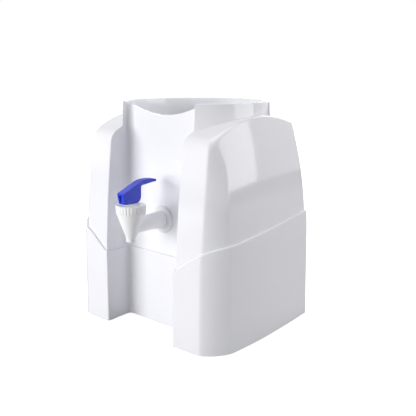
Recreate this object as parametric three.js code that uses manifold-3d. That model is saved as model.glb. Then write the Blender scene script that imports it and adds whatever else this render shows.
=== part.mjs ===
// Countertop water dispenser that carries an inverted bottle and draws from it through a lever tap.
// Millimetres, +Z up, front towards -Y. Each mesh is one separate piece of the product.

import * as THREE from 'three';
import { mergeVertices } from 'three/addons/utils/BufferGeometryUtils.js';
import Module from 'manifold-3d';

const wasm = await Module();
wasm.setup();

// ---------------------------------------------------------------------------
// Driving dimensions
// ---------------------------------------------------------------------------

const clearance = 0.3; // gap left between pieces that touch
const coverWall = 3;
const baseWall = 2.7;
const tankWall = 2.2;

// Housing, seen from above: a front face, a rounded knee, a crease and a side face per quarter.
const rimHeight = 310;
const faceHalfDepth = 112.4;
const creaseHalfWidth = 134.4;
const creaseHalfDepth = 86.5;
const sideBow = 1.5;

// In front, a near-flat face meets a bowed flank at a tight knee, and the crease stands further in.
const frontKnee = { halfWidth: 106.3, lean: 19, softness: 2.4 };
const frontCreaseInset = 4.2;
const frontFlankRadius = 38;
const frontFlankLeast = 5;
const frontBow = 2;

// In the rear, one wide round takes up the whole flank, and the face stays nearly upright.
const rearKnee = { halfWidth: 112, sideLean: 28, lean: 4, round: 28, roundLean: 22 };

// How far each of those leans in between flankStart and flankTop, and how late the lean comes.
const flankStart = 100;
const flankTop = rimHeight - 20;
const faceLeanPower = 1.4;
const kneeLeanPower = 1.5;
const creaseLean = 23.5;
const creaseLeanPower = 2.6;
const creaseDepthLean = 13;
const creaseDepthPower = 1.6;

// Shoulder arch and bottle collar.
const archCrest = rimHeight - 17;
const archRadius = 204;
const archHalfSpan = 145;
const collarCentre = 4.5;
const collarRadius = 102;
const collarFlare = 2.5;
const collarFoot = rimHeight - 42;
const throatRadius = collarRadius - coverWall;
const rimRound = 1.2;

// Dip in the front of the rim, and how far it stands below the rim at its ends.
const dipDepth = 16.8;
const dipRadius = 150;
const dipHalfWidth = 61;
const postDrop = 6;

// Recess in the front face for a cup under the tap.
const recessHalfWidth = 65;
const panelAtRim = 62.5;
const panelLean = THREE.MathUtils.degToRad(2);
const recessRound = 9;

// Skirt and the swooping line where the cover drops into it.
const skirtEdge = 1;
const skirtStep = 3;
const skirtFlare = 2;
const swoopFront = 103;
const swoopRise = 40;
const swoopReach = 140;
const swoopPower = 1.6;
const sideRise = 14.5;
const tongue = 8;

// Screw towers in the skirt, lugs in the cover, screws and feet.
const frontTower = { x: 92, y: 84 };
const rearTower = { x: 98, y: 82 };
const towerRadius = 7.5;
const towerFloor = 3;
const lugRadius = 7;
const lugHeight = 16;
const towerCap = 4;
const webThickness = 3;
const screwRadius = 1.9;
const screwGrip = 12;
const screwHeadRadius = 3.9;
const screwHeadHeight = 2.4;
const wellRadius = 4.8;
const footRadius = 9.5;
const footPlug = 10;

// Reservoir, hung by its flange from a ledge in the throat.
const ledgeHeight = rimHeight - 48;
const ledgeWidth = 6;
const ledgeThickness = 3;
const flangeThickness = 2.5;
const tankRadius = 92.5;
const tankFloorRadius = 88;
const tankBelowTap = 30;
const tankFillet = 4;
const panelGap = 2.6;

// Bottle seat: a funnel with a cup for the bottle's neck, and the probe that opens its cap.
const sealThickness = 2;
const seatWall = 2.2;
const funnelRadius = 88;
const funnelDrop = 32;
const neckRadius = 33;
const neckDepth = 30;
const probeRadius = 11;
const probeBore = 8.5;
const probeHeight = 40;
const probeTip = 9;
const probeFlange = 19;
const probeTail = 16;
const probeSlot = { width: 4, height: 16, count: 4 };

// Tap, on an axis square to the leaning panel.
const tapHeight = 151.7;
const barrelReach = 59;
const barrelTop = 28.3;
const barrelTopRadius = 19.2;
const bonnetRadius = 19.8;
const spoutDrop = 21.2;
const spoutLength = 5;
const spoutRadius = 6.2;
const spoutBore = 4.2;
const barrelWall = 2.4;
const chamberRadius = 13;
const bonnetHeight = 10;
const bonnetFlutes = 28;
const fluteDepth = 0.7;
const spigotDepth = 8;
const springPocket = 10;
const valveSeat = -7;
const shankRadius = 11;
const shankBore = 6.5;
const shankTail = 22;
const shoulderRadius = 12.6;
const shoulderThickness = 3;
const escutcheonRadius = 18.8;
const escutcheonThickness = 3;
const gasketRadius = 15.5;
const gasketThickness = 1.6;
const nutRadius = 17;
const nutThickness = 8;

// Stem, spring and valve plug.
const stemRadius = 3;
const collarDisc = { radius: 9, bottom: 2, thickness: 2 };
const springWire = 1.1;
const springRadius = 7.6;
const springTurns = 5;
const plugRadius = 6.6;
const plugHeight = 6;

// Lever: a cam block on a cross pin, with a thin paddle behind it.
const leverWidth = 12;
const slipRingRadius = 12;
const slipRingThickness = 1.5;
const pinRadius = 1.5;
const pinHalfLength = 5;
const pinHeight = 6;
const camRadius = 8;
const camOffset = 5;
const noseReach = 18.6;
const noseFoot = 15.3;
const noseHeight = 14;
const shoulderPoint = { y: 9.6, z: 27 };
const crownPoint = { y: 26, z: 30.1 };
const paddleReach = 43;
const paddleEnd = 27.6;
const paddleThickness = 2.4;
const paddleRoot = 22;
const paddleFillet = 2;
const paddleTipWidth = 9;
const forkWidth = 6.6;

// A length beyond every outline, for cutters, and facets in a full turn.
const beyond = 1.3 * rimHeight;
const wideTurn = 56;
const mediumTurn = 32;
const smallTurn = 20;

// ---------------------------------------------------------------------------
// Solids from three.js shapes
// ---------------------------------------------------------------------------

function toSolid(geometry) {
  const bare = geometry.clone();
  bare.deleteAttribute('normal');
  bare.deleteAttribute('uv');
  const merged = mergeVertices(bare, 1e-4);
  const triangles = [];
  for (let i = 0; i < merged.index.count; i += 3) {
    const [a, b, c] = merged.index.array.slice(i, i + 3);
    if (a !== b && b !== c && c !== a) {
      triangles.push(a, b, c);
    }
  }
  return new wasm.Manifold(new wasm.Mesh({
    numProp: 3,
    vertProperties: new Float32Array(merged.attributes.position.array),
    triVerts: new Uint32Array(triangles),
  }));
}

function toGeometry(solid) {
  const mesh = solid.getMesh();
  const geometry = new THREE.BufferGeometry();
  geometry.setAttribute('position', new THREE.BufferAttribute(new Float32Array(mesh.vertProperties), 3));
  geometry.setIndex(new THREE.BufferAttribute(new Uint32Array(mesh.triVerts), 1));
  geometry.computeVertexNormals();
  return geometry;
}

// A profile of [radius, height] pairs turned about the Z axis.
function turned(profile, segments) {
  const points = profile.map(([r, z]) => new THREE.Vector2(r, z));
  return new THREE.LatheGeometry(points, segments).rotateX(Math.PI / 2);
}

function rod(radius, bottom, top, segments) {
  return toSolid(turned([[0, bottom], [radius, bottom], [radius, top], [0, top]], segments));
}

function tube(outer, inner, bottom, top, segments) {
  const profile = [[inner, bottom], [outer, bottom], [outer, top], [inner, top], [inner, bottom]];
  return toSolid(turned(profile, segments));
}

function block(xs, ys, zs) {
  const geometry = new THREE.BoxGeometry(xs[1] - xs[0], ys[1] - ys[0], zs[1] - zs[0]);
  geometry.translate((xs[0] + xs[1]) / 2, (ys[0] + ys[1]) / 2, (zs[0] + zs[1]) / 2);
  return toSolid(geometry);
}

// The same outline without points that repeat the one before them.
function tidyOutline(shape, divisions) {
  const points = shape.getPoints(divisions);
  const kept = points.filter((p, i) => p.distanceTo(points.at(i - 1)) > 1e-3);
  return new THREE.Shape(kept);
}

// A Y-Z profile made into a bar of the given width across X, centred.
function acrossX(profile, width, bevel = {}) {
  const bar = new THREE.ExtrudeGeometry(profile, { depth: width, bevelEnabled: false, ...bevel });
  bar.translate(0, 0, -width / 2);
  return bar.applyMatrix4(new THREE.Matrix4().makeBasis(
    new THREE.Vector3(0, 1, 0),
    new THREE.Vector3(0, 0, 1),
    new THREE.Vector3(1, 0, 0),
  ));
}

function flatXY(p) {
  return new THREE.Vector2(p.x, p.y);
}

function flatXZ(p) {
  return new THREE.Vector2(p.x, p.z);
}

// A solid skinned over rings of points, each ring running anticlockwise seen from the last ring.
function loft(rings, flatten = flatXY) {
  const count = rings[0].length;
  const flat = rings.flat();
  const positions = flat.flatMap((p) => [p.x, p.y, p.z]);
  const triangles = [];
  for (let level = 0; level < rings.length - 1; level += 1) {
    for (let i = 0; i < count; i += 1) {
      const a = level * count + i;
      const b = level * count + ((i + 1) % count);
      triangles.push(a, b, b + count, a, b + count, a + count);
    }
  }
  const lid = THREE.ShapeUtils.triangulateShape(rings[0].map(flatten), []);
  const last = (rings.length - 1) * count;
  lid.forEach(([a, b, c]) => {
    triangles.push(a, c, b, last + a, last + b, last + c);
  });
  const geometry = new THREE.BufferGeometry();
  geometry.setAttribute('position', new THREE.Float32BufferAttribute(positions, 3));
  geometry.setIndex(triangles);
  return toSolid(geometry);
}

function levels(from, to, steps) {
  return Array.from({ length: steps + 1 }, (_, i) => from + ((to - from) * i) / steps);
}

// ---------------------------------------------------------------------------
// Housing form
// ---------------------------------------------------------------------------

function mitre(corner, before, after, grow) {
  return corner.clone().addScaledVector(before.clone().add(after), grow / (1 + before.dot(after)));
}

// How far up the leaning part of the housing a level lies, from 0 at its start to 1 at its top.
function riseAt(z) {
  return Math.max(0, (z - flankStart) / (flankTop - flankStart));
}

function creaseAt(z, inset) {
  const rise = riseAt(z);
  return new THREE.Vector2(
    creaseHalfWidth - inset - creaseLean * rise ** creaseLeanPower,
    creaseHalfDepth - creaseDepthLean * rise ** creaseDepthPower,
  );
}

// The bowed side from its middle to a crease, which stands `inset` further in than the rear one.
function sidePoints(crease, inset) {
  return [0, 0.5, 1].map((share) => (
    new THREE.Vector2(crease.x + (sideBow + inset) * (1 - share * share), crease.y * share)
  ));
}

// Quarters of one level, grown outwards by `grow`, from the middle of the side to the face.
function rearQuarter(z, grow) {
  const rise = riseAt(z);
  const kneeAt = new THREE.Vector2(
    rearKnee.halfWidth - rearKnee.sideLean * rise ** kneeLeanPower,
    faceHalfDepth - rearKnee.lean * rise ** faceLeanPower,
  );
  const corner = creaseAt(z, 0);
  const flank = corner.clone().sub(kneeAt).normalize();
  const flankNormal = new THREE.Vector2(-flank.y, flank.x);
  const knee = mitre(kneeAt, new THREE.Vector2(0, 1), flankNormal, grow);
  const crease = mitre(corner, flankNormal, new THREE.Vector2(1, 0), grow);

  const turn = Math.acos(flank.x);
  const halfTurn = Math.tan(turn / 2);
  const room = 0.95 * knee.distanceTo(crease);
  const tangent = Math.min(rearKnee.round - rearKnee.roundLean * rise + grow * halfTurn, room);
  const radius = tangent / halfTurn;
  const arc = levels(turn, 0, 6).map((angle) => new THREE.Vector2(
    knee.x - tangent + radius * Math.sin(angle),
    knee.y - radius + radius * Math.cos(angle),
  ));
  return [...sidePoints(crease, 0), ...arc];
}

function frontQuarter(z, grow) {
  const corner = creaseAt(z, frontCreaseInset);
  const kneeAt = new THREE.Vector2(
    Math.min(frontKnee.halfWidth, corner.x - frontFlankLeast),
    faceHalfDepth - frontKnee.lean * riseAt(z) ** faceLeanPower,
  );
  const chord = corner.clone().sub(kneeAt);
  const bulge = chord.length() / (4 * frontFlankRadius);
  const pull = kneeAt.clone().add(corner).multiplyScalar(0.5);
  pull.add(new THREE.Vector2(-chord.y, chord.x).multiplyScalar(bulge));
  const flank = new THREE.QuadraticBezierCurve(kneeAt, pull, corner);
  const normalAt = (t) => {
    const along = flank.getTangent(t);
    return new THREE.Vector2(-along.y, along.x);
  };
  const grown = (t) => flank.getPoint(t).addScaledVector(normalAt(t), grow);
  const knee = mitre(kneeAt, new THREE.Vector2(0, 1), normalAt(0), grow);
  const crease = mitre(corner, normalAt(1), new THREE.Vector2(1, 0), grow);
  const softEnd = frontKnee.softness / chord.length();
  const face = new THREE.Vector2(knee.x - frontKnee.softness, knee.y);
  const softKnee = new THREE.QuadraticBezierCurve(grown(softEnd), knee, face).getPoints(3);
  return [
    ...sidePoints(crease, frontCreaseInset),
    ...[0.8, 0.6, 0.4].map(grown),
    ...softKnee,
    new THREE.Vector2(recessHalfWidth / 2, knee.y + frontBow),
  ];
}

// One level of the housing as a ring that starts at the middle of the right side.
function outline(z, grow) {
  const [middle, ...rear] = rearQuarter(z, grow);
  const front = frontQuarter(z, grow).slice(1);
  const ring = [
    middle,
    ...rear,
    ...rear.toReversed().map((p) => new THREE.Vector2(-p.x, p.y)),
    new THREE.Vector2(-middle.x, 0),
    ...front.map((p) => new THREE.Vector2(-p.x, -p.y)),
    ...front.toReversed().map((p) => new THREE.Vector2(p.x, -p.y)),
  ];
  return ring.map((p) => new THREE.Vector3(p.x, p.y, z));
}

// The arch that the shoulders are cut to, as a bar along X.
function arch(lowered) {
  const radius = archRadius - lowered;
  const centreHeight = archCrest - archRadius;
  const spread = Math.asin(archHalfSpan / archRadius);
  const profile = new THREE.Shape();
  profile.absarc(collarCentre, centreHeight, radius, Math.PI / 2 - spread, Math.PI / 2 + spread, false);
  profile.lineTo(collarCentre - archHalfSpan, 0);
  profile.lineTo(collarCentre + archHalfSpan, 0);
  profile.closePath();
  return toSolid(acrossX(tidyOutline(profile, 28), beyond));
}

function panelDepth(z) {
  return panelAtRim + (rimHeight - z) * Math.tan(panelLean);
}

// The recess in the front, grown by `grow` on its sides and panel; its back leans with the panel.
function recess(grow) {
  const half = recessHalfWidth + grow;
  const back = grow - panelDepth(0);
  const round = recessRound + grow;
  const plan = new THREE.Shape();
  plan.moveTo(-half, -beyond);
  plan.lineTo(half, -beyond);
  plan.lineTo(half, back - round);
  plan.absarc(half - round, back - round, round, 0, Math.PI / 2, false);
  plan.lineTo(round - half, back);
  plan.absarc(round - half, back - round, round, Math.PI / 2, Math.PI, false);
  plan.closePath();
  const cutter = new THREE.ExtrudeGeometry(tidyOutline(plan, 4), { depth: beyond, bevelEnabled: false });
  cutter.applyMatrix4(new THREE.Matrix4().makeShear(0, 0, 0, 0, 0, Math.tan(panelLean)));
  return toSolid(cutter.translate(0, -20 * Math.tan(panelLean), -20));
}

// Height of the line between skirt and cover at a point of the wall.
function swoopAt(x, y) {
  const reach = (Math.abs(x) - recessHalfWidth) / (swoopReach - recessHalfWidth);
  const outward = 1 - (1 - THREE.MathUtils.clamp(reach, 0, 1)) ** swoopPower;
  const behind = THREE.MathUtils.smoothstep(y, -creaseHalfDepth / 2, creaseHalfDepth / 2);
  const along = THREE.MathUtils.clamp((y + creaseHalfDepth) / (2 * creaseHalfDepth), 0, 1);
  return swoopFront + swoopRise * THREE.MathUtils.lerp(outward, 1, behind) + sideRise * along;
}

// Everything below the swoop line, moved up by `lift`.
function belowSwoop(lift) {
  const reach = swoopReach + 20;
  const across = levels(-reach, reach, 32);
  const half = creaseHalfDepth / 2;
  const along = [-reach, -creaseHalfDepth, -half, 0, half, creaseHalfDepth, reach];
  return loft(along.toReversed().map((y) => [
    new THREE.Vector3(-reach, y, -30),
    new THREE.Vector3(reach, y, -30),
    ...across.toReversed().map((x) => new THREE.Vector3(x, y, swoopAt(x, y) + lift)),
  ]), flatXZ);
}

// ---------------------------------------------------------------------------
// Assembly helpers
// ---------------------------------------------------------------------------

const dispenser = new THREE.Group();

function finish(color, roughness) {
  return { color, roughness, metalness: 0 };
}

const glossyWhite = finish(0xf1f2f6, 0.18);
const tankWhite = finish(0xe9edf2, 0.4);
const tapWhite = finish(0xf4f4f4, 0.25);
const leverBlue = finish(0x3544c4, 0.2);
const silicone = finish(0xe3e1da, 0.6);
const rubber = finish(0x3a3a3c, 0.9);
const steel = { color: 0xb9bcc0, roughness: 0.35, metalness: 1 };

function piece(parent, name, solid, look) {
  const mesh = new THREE.Mesh(toGeometry(solid), new THREE.MeshStandardMaterial(look));
  mesh.name = name;
  parent.add(mesh);
  return mesh;
}

// ---------------------------------------------------------------------------
// Upper cover: shoulders, collar, recess panel and the well that holds the reservoir
// ---------------------------------------------------------------------------

const tapFrame = new THREE.Matrix4()
  .makeTranslation(0, -panelDepth(tapHeight), tapHeight)
  .multiply(new THREE.Matrix4().makeRotationX(-panelLean));

// A profile of [radius, distance in front of the panel] pairs turned about the tap's shank.
function turnedOut(profile, segments) {
  return turned(profile, segments).rotateX(Math.PI / 2);
}

function shankHole() {
  const radius = shankRadius + clearance;
  const profile = [[0, -60], [radius, -60], [radius, 20], [0, 20]];
  return toSolid(turnedOut(profile, mediumTurn).applyMatrix4(tapFrame));
}

function aboutCollar(profile, segments = wideTurn) {
  return toSolid(turned(profile, segments).translate(0, collarCentre, 0));
}

function collarDrum(radius, bottom, top) {
  return aboutCollar([[0, bottom], [radius, bottom], [radius, top], [0, top]]);
}

// The housing form from `bottom` to `top`; below flankStart its sides are straight, above it they curve in.
function housing(grow, bottom, top) {
  const curved = levels(flankStart, top, Math.ceil((top - flankStart) / 30));
  return loft([bottom, ...curved].map((z) => outline(z, grow(z))));
}

const towers = [
  { x: frontTower.x, y: -frontTower.y },
  { x: rearTower.x, y: rearTower.y },
  { x: -rearTower.x, y: rearTower.y },
  { x: -frontTower.x, y: -frontTower.y },
].map((place) => ({ ...place, lug: swoopAt(place.x, place.y) - tongue }));

function pillar(place, radius, bottom, top) {
  const profile = [[0, bottom], [radius, bottom], [radius, top], [0, top]];
  return toSolid(turned(profile, smallTurn).translate(place.x, place.y, 0));
}

// Ribs from a tower or lug out to the side and the front or rear wall.
function ribs(place, bottom, top) {
  const half = webThickness / 2;
  const outX = Math.sign(place.x) * beyond;
  const outY = Math.sign(place.y) * beyond;
  const sideways = block(
    [Math.min(place.x, outX), Math.max(place.x, outX)],
    [place.y - half, place.y + half],
    [bottom, top],
  );
  const lengthways = block(
    [place.x - half, place.x + half],
    [Math.min(place.y, outY), Math.max(place.y, outY)],
    [bottom, top],
  );
  return sideways.add(lengthways);
}

function makeUpperCover() {
  const body = housing(() => 0, swoopFront - 20, rimHeight - 5).intersect(arch(0));
  const collar = aboutCollar([
    [0, collarFoot],
    [collarRadius + collarFlare, collarFoot],
    [collarRadius, rimHeight - rimRound],
    [collarRadius - rimRound, rimHeight],
    [0, rimHeight],
  ]);
  const front = recess(0);
  const frontWall = recess(coverWall);
  const outside = body.add(collar).subtract(front);

  const wellFloor = ledgeHeight - ledgeThickness;
  const well = collarDrum(collarRadius, wellFloor, rimHeight + 10);
  const cavity = housing(() => -coverWall, swoopFront - 30, rimHeight - 5)
    .intersect(arch(coverWall))
    .subtract(well);
  const throat = collarDrum(throatRadius, ledgeHeight, rimHeight + 10);
  const tankPassage = collarDrum(throatRadius - ledgeWidth, wellFloor - 10, rimHeight)
    .subtract(recess(coverWall + panelGap - clearance));
  const hollow = cavity.add(throat).subtract(frontWall).add(tankPassage);

  const dipCentre = rimHeight - dipDepth + dipRadius;
  const dip = toSolid(turnedOut([[0, 0], [dipRadius, 0], [dipRadius, beyond], [0, beyond]], 160)
    .translate(0, 0, dipCentre))
    .intersect(block([-dipHalfWidth, dipHalfWidth], [-beyond, 0], [0, rimHeight + 1]));
  const postBack = -panelAtRim + coverWall;
  const postFront = collarCentre - Math.sqrt(collarRadius ** 2 - recessHalfWidth ** 2);
  const slope = new THREE.Shape([
    new THREE.Vector2(postFront - 1, rimHeight),
    new THREE.Vector2(postBack, rimHeight - postDrop),
    new THREE.Vector2(postBack, rimHeight + 1),
    new THREE.Vector2(postFront - 1, rimHeight + 1),
  ]);
  const postTops = toSolid(acrossX(slope, 2 * (recessHalfWidth + coverWall)));

  let cover = outside.subtract(hollow).subtract(dip).subtract(postTops).subtract(shankHole());
  towers.forEach((place) => {
    const lug = pillar(place, lugRadius, place.lug, place.lug + lugHeight)
      .add(ribs(place, place.lug, place.lug + lugHeight))
      .intersect(outside)
      .subtract(pillar(place, screwRadius + clearance, place.lug - 1, place.lug + screwGrip + 1));
    cover = cover.add(lug);
  });
  return cover.subtract(belowSwoop(-tongue));
}

piece(dispenser, 'upper_cover', makeUpperCover(), glossyWhite);

// ---------------------------------------------------------------------------
// Skirt: the lower housing that the cover drops into, with screw towers and feet
// ---------------------------------------------------------------------------

function makeSkirt() {
  const flare = (z) => skirtStep + (skirtFlare * Math.max(0, swoopFront - z)) / swoopFront;
  const top = swoopFront + swoopRise + sideRise + 20;
  const outside = housing(flare, skirtEdge, top)
    .subtract(recess(-skirtStep))
    .intersect(belowSwoop(0));
  const inside = housing((z) => flare(z) - baseWall, skirtEdge - 5, top)
    .subtract(recess(baseWall - skirtStep));
  let skirt = outside.subtract(inside);
  towers.forEach((place) => {
    const towerTop = place.lug - clearance;
    const tower = pillar(place, towerRadius, towerFloor, towerTop)
      .add(ribs(place, towerFloor, place.lug - 2 * tongue).intersect(outside))
      .subtract(pillar(place, wellRadius, towerFloor - 1, towerTop - towerCap))
      .subtract(pillar(place, screwRadius + clearance, towerTop - towerCap - 1, towerTop + 1));
    skirt = skirt.add(tower);
  });
  return skirt;
}

piece(dispenser, 'skirt', makeSkirt(), glossyWhite);

const towerNames = ['right_front', 'right_rear', 'left_rear', 'left_front'];

towers.forEach((place, i) => {
  const headTop = place.lug - clearance - towerCap - clearance;
  const headBottom = headTop - screwHeadHeight;
  const screw = toSolid(turned([
    [0, headBottom],
    [screwHeadRadius - 0.8, headBottom],
    [screwHeadRadius, headTop - 0.6],
    [screwHeadRadius, headTop],
    [screwRadius, headTop],
    [screwRadius, place.lug + screwGrip - 2],
    [0, place.lug + screwGrip],
  ], 14));
  piece(dispenser, `screw_${towerNames[i]}`, screw, steel).position.set(place.x, place.y, 0);

  const padTop = towerFloor - clearance;
  const foot = toSolid(turned([
    [0, 0],
    [footRadius - 1, 0],
    [footRadius, 1],
    [footRadius, padTop],
    [wellRadius - clearance, padTop],
    [wellRadius - clearance, padTop + footPlug],
    [0, padTop + footPlug],
  ], smallTurn));
  piece(dispenser, `foot_${towerNames[i]}`, foot, rubber).position.set(place.x, place.y, 0);
});

// ---------------------------------------------------------------------------
// Reservoir and bottle seat
// ---------------------------------------------------------------------------

const tankFloor = tapHeight - tankBelowTap;
const tankFront = coverWall + panelGap;

function behind(solid, setback) {
  return solid.subtract(recess(setback));
}

function makeReservoir() {
  const flangeFoot = ledgeHeight + clearance;
  const rim = flangeFoot + flangeThickness;
  const shell = (inset, top) => aboutCollar([
    [0, tankFloor + inset],
    [tankFloorRadius - tankFillet - inset, tankFloor + inset],
    [tankFloorRadius - inset - 0.3 * tankFillet, tankFloor + inset + 0.3 * tankFillet],
    [tankFloorRadius - inset, tankFloor + tankFillet],
    [tankRadius - inset, flangeFoot],
    [tankRadius - inset, top],
    [0, top],
  ]);
  const disc = collarDrum(throatRadius - 2 * clearance, flangeFoot, rim);
  const flange = behind(disc, coverWall + 2 * clearance);
  return behind(shell(0, rim), tankFront)
    .add(flange)
    .subtract(behind(shell(tankWall, rim + 5), tankFront + tankWall))
    .subtract(shankHole());
}

piece(dispenser, 'reservoir', makeReservoir(), tankWhite);

const sealFoot = ledgeHeight + flangeThickness + 2 * clearance;
const seatFoot = sealFoot + sealThickness + clearance;
const seatTop = seatFoot + flangeThickness;

function makeSeatSeal() {
  const ring = (radius, setback) => behind(
    collarDrum(radius, sealFoot, sealFoot + sealThickness),
    setback,
  );
  return ring(throatRadius - 1.5, coverWall + 1.5).subtract(ring(tankRadius, tankFront + tankWall));
}

piece(dispenser, 'seat_seal', makeSeatSeal(), silicone);

const cupTop = seatTop - funnelDrop;
const cupFloor = cupTop - neckDepth;

function makeBottleSeat() {
  const setback = tankFront + tankWall + 1;
  const shell = (inset, top) => aboutCollar([
    [0, cupFloor + inset],
    [neckRadius - inset - 2, cupFloor + inset],
    [neckRadius - inset, cupFloor + inset + 2],
    [neckRadius + 1 - inset, cupTop - 2],
    [neckRadius + 5 - inset, cupTop + 1],
    [funnelRadius - inset, seatFoot - 2],
    [funnelRadius - inset, top],
    [0, top],
  ]);
  const liftRoom = (rimHeight - seatFoot) * Math.tan(panelLean);
  const flange = behind(
    collarDrum(throatRadius - 2 * clearance, seatFoot, seatTop),
    coverWall + 2 * clearance + liftRoom,
  );
  const tail = collarDrum(probeRadius + clearance, cupFloor - 1, cupFloor + seatWall + 1);
  return behind(shell(0, seatTop), setback)
    .add(flange)
    .subtract(behind(shell(seatWall, seatTop + 5), setback + seatWall))
    .subtract(tail);
}

piece(dispenser, 'bottle_seat', makeBottleSeat(), tankWhite);

const probeSealFoot = cupFloor + seatWall + clearance;
const probeFoot = probeSealFoot + sealThickness + clearance;

piece(
  dispenser,
  'probe_seal',
  tube(probeFlange - 2, probeRadius + clearance, probeSealFoot, probeSealFoot + sealThickness, mediumTurn),
  silicone,
).position.y = collarCentre;

function makeProbe() {
  const shoulder = probeFoot + probeHeight;
  let probe = toSolid(turned([
    [0, cupFloor - probeTail],
    [probeRadius, cupFloor - probeTail],
    [probeRadius, probeFoot],
    [probeFlange, probeFoot],
    [probeFlange, probeFoot + seatWall],
    [probeRadius, probeFoot + seatWall],
    [probeRadius, shoulder],
    [probeRadius * 0.62, shoulder + probeTip * 0.7],
    [0, shoulder + probeTip],
  ], mediumTurn));
  probe = probe.subtract(rod(probeBore, cupFloor - probeTail - 1, shoulder - 2, mediumTurn));
  for (let i = 0; i < probeSlot.count; i += 1) {
    const slot = new THREE.BoxGeometry(probeRadius * 1.5, probeSlot.width, probeSlot.height);
    slot.translate(probeRadius, 0, shoulder - probeSlot.height / 2 - 4);
    slot.rotateZ(((i + 0.5) * 2 * Math.PI) / probeSlot.count);
    probe = probe.subtract(toSolid(slot));
  }
  return probe;
}

piece(dispenser, 'bottle_probe', makeProbe(), tapWhite).position.y = collarCentre;

// ---------------------------------------------------------------------------
// Tap, in its own frame: origin on the panel at the shank, barrel along Z in front of it
// ---------------------------------------------------------------------------

const tap = new THREE.Group();
tap.applyMatrix4(tapFrame);
dispenser.add(tap);

const gasketBack = -clearance;
const gasketFront = gasketBack - gasketThickness;
const escutcheonBack = gasketFront - clearance;
const escutcheonFront = escutcheonBack - escutcheonThickness;
const shoulderBack = escutcheonFront - clearance;
const holeRadius = shankRadius + clearance;

// A ring about the shank between two distances behind the panel.
function collarOut(outer, inner, front, back, segments = mediumTurn) {
  const profile = [[inner, -back], [outer, -back], [outer, -front], [inner, -front], [inner, -back]];
  return toSolid(turnedOut(profile, segments));
}

piece(tap, 'panel_gasket', collarOut(gasketRadius, holeRadius, gasketFront, gasketBack), silicone);

piece(tap, 'tap_escutcheon', toSolid(turnedOut([
  [holeRadius, -escutcheonBack],
  [gasketRadius + clearance, -escutcheonBack],
  [gasketRadius + clearance, clearance],
  [escutcheonRadius, clearance],
  [escutcheonRadius, 1.5],
  [escutcheonRadius - 2, -escutcheonFront - 1.2],
  [escutcheonRadius - 6, -escutcheonFront],
  [holeRadius, -escutcheonFront],
  [holeRadius, -escutcheonBack],
], mediumTurn)), tapWhite);

const tankFace = tankFront / Math.cos(panelLean);
const spacerFront = coverWall + clearance;
const nutGasketFront = tankFace + tankWall + clearance;
const nutFront = nutGasketFront + gasketThickness + clearance;

piece(tap, 'tank_spacer', collarOut(gasketRadius, holeRadius, spacerFront, tankFace - clearance), silicone);
piece(
  tap,
  'nut_gasket',
  collarOut(gasketRadius - 2, holeRadius, nutGasketFront, nutGasketFront + gasketThickness),
  silicone,
);

function makeNut() {
  const wings = 6;
  const outer = new THREE.Shape();
  for (let i = 0; i < wings * 4; i += 1) {
    const angle = (i * Math.PI) / (2 * wings);
    const reach = i % 4 < 2 ? nutRadius : nutRadius - 2.5;
    const at = new THREE.Vector2(reach * Math.cos(angle), reach * Math.sin(angle));
    if (i === 0) {
      outer.moveTo(at.x, at.y);
    } else {
      outer.lineTo(at.x, at.y);
    }
  }
  outer.closePath();
  const body = new THREE.ExtrudeGeometry(outer, { depth: nutThickness, bevelEnabled: false });
  body.rotateX(-Math.PI / 2).translate(0, nutFront, 0);
  return toSolid(body).subtract(collarOut(holeRadius, 0, nutFront - 1, nutFront + nutThickness + 1));
}

piece(tap, 'tap_nut', makeNut(), tapWhite);

const barrel = new THREE.Group();
barrel.position.y = -barrelReach;
tap.add(barrel);

const bonnetFoot = barrelTop - bonnetHeight;
const barrelLip = bonnetFoot - clearance;
const spoutTop = spoutLength - spoutDrop;
const coneSlope = (barrelTopRadius - spoutRadius) / (barrelLip - spoutTop);
const coneRadius = (z) => spoutRadius + Math.max(0, z - spoutTop) * coneSlope;

function makeTapBody() {
  const cone = toSolid(turned([
    [0, -spoutDrop],
    [spoutRadius, -spoutDrop],
    [spoutRadius, spoutTop - 1],
    [coneRadius(spoutTop + 2), spoutTop + 2],
    [barrelTopRadius, barrelLip],
    [0, barrelLip],
  ], mediumTurn));
  const shank = toSolid(turnedOut([
    [0, -shankTail],
    [shankRadius, -shankTail],
    [shankRadius, -shoulderBack],
    [shoulderRadius, -shoulderBack],
    [shoulderRadius, shoulderThickness - shoulderBack],
    [shankRadius, shoulderThickness - shoulderBack + 2],
    [shankRadius, barrelReach],
    [0, barrelReach],
  ], mediumTurn)).translate(0, barrelReach, 0);
  const spigotStop = bonnetFoot - spigotDepth - clearance;
  const chamber = toSolid(turned([
    [0, valveSeat - 2],
    [coneRadius(valveSeat - 2) - barrelWall, valveSeat - 2],
    [coneRadius(spigotStop) - barrelWall, spigotStop],
    [chamberRadius, spigotStop],
    [chamberRadius, barrelLip + 1],
    [0, barrelLip + 1],
  ], mediumTurn));
  const seat = tube(spoutBore + 1.4, spoutBore, valveSeat - 3, valveSeat, mediumTurn);
  const spout = rod(spoutBore, -spoutDrop - 1, valveSeat + 1, mediumTurn);
  const waterway = collarOut(shankBore, 0, 0, barrelReach + shankTail + 1);
  return cone.add(shank).subtract(chamber).subtract(waterway).add(seat).subtract(spout);
}

piece(barrel, 'tap_body', makeTapBody(), tapWhite);

const spigotRadius = chamberRadius - clearance;
const plateFoot = barrelTop - 5;

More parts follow.
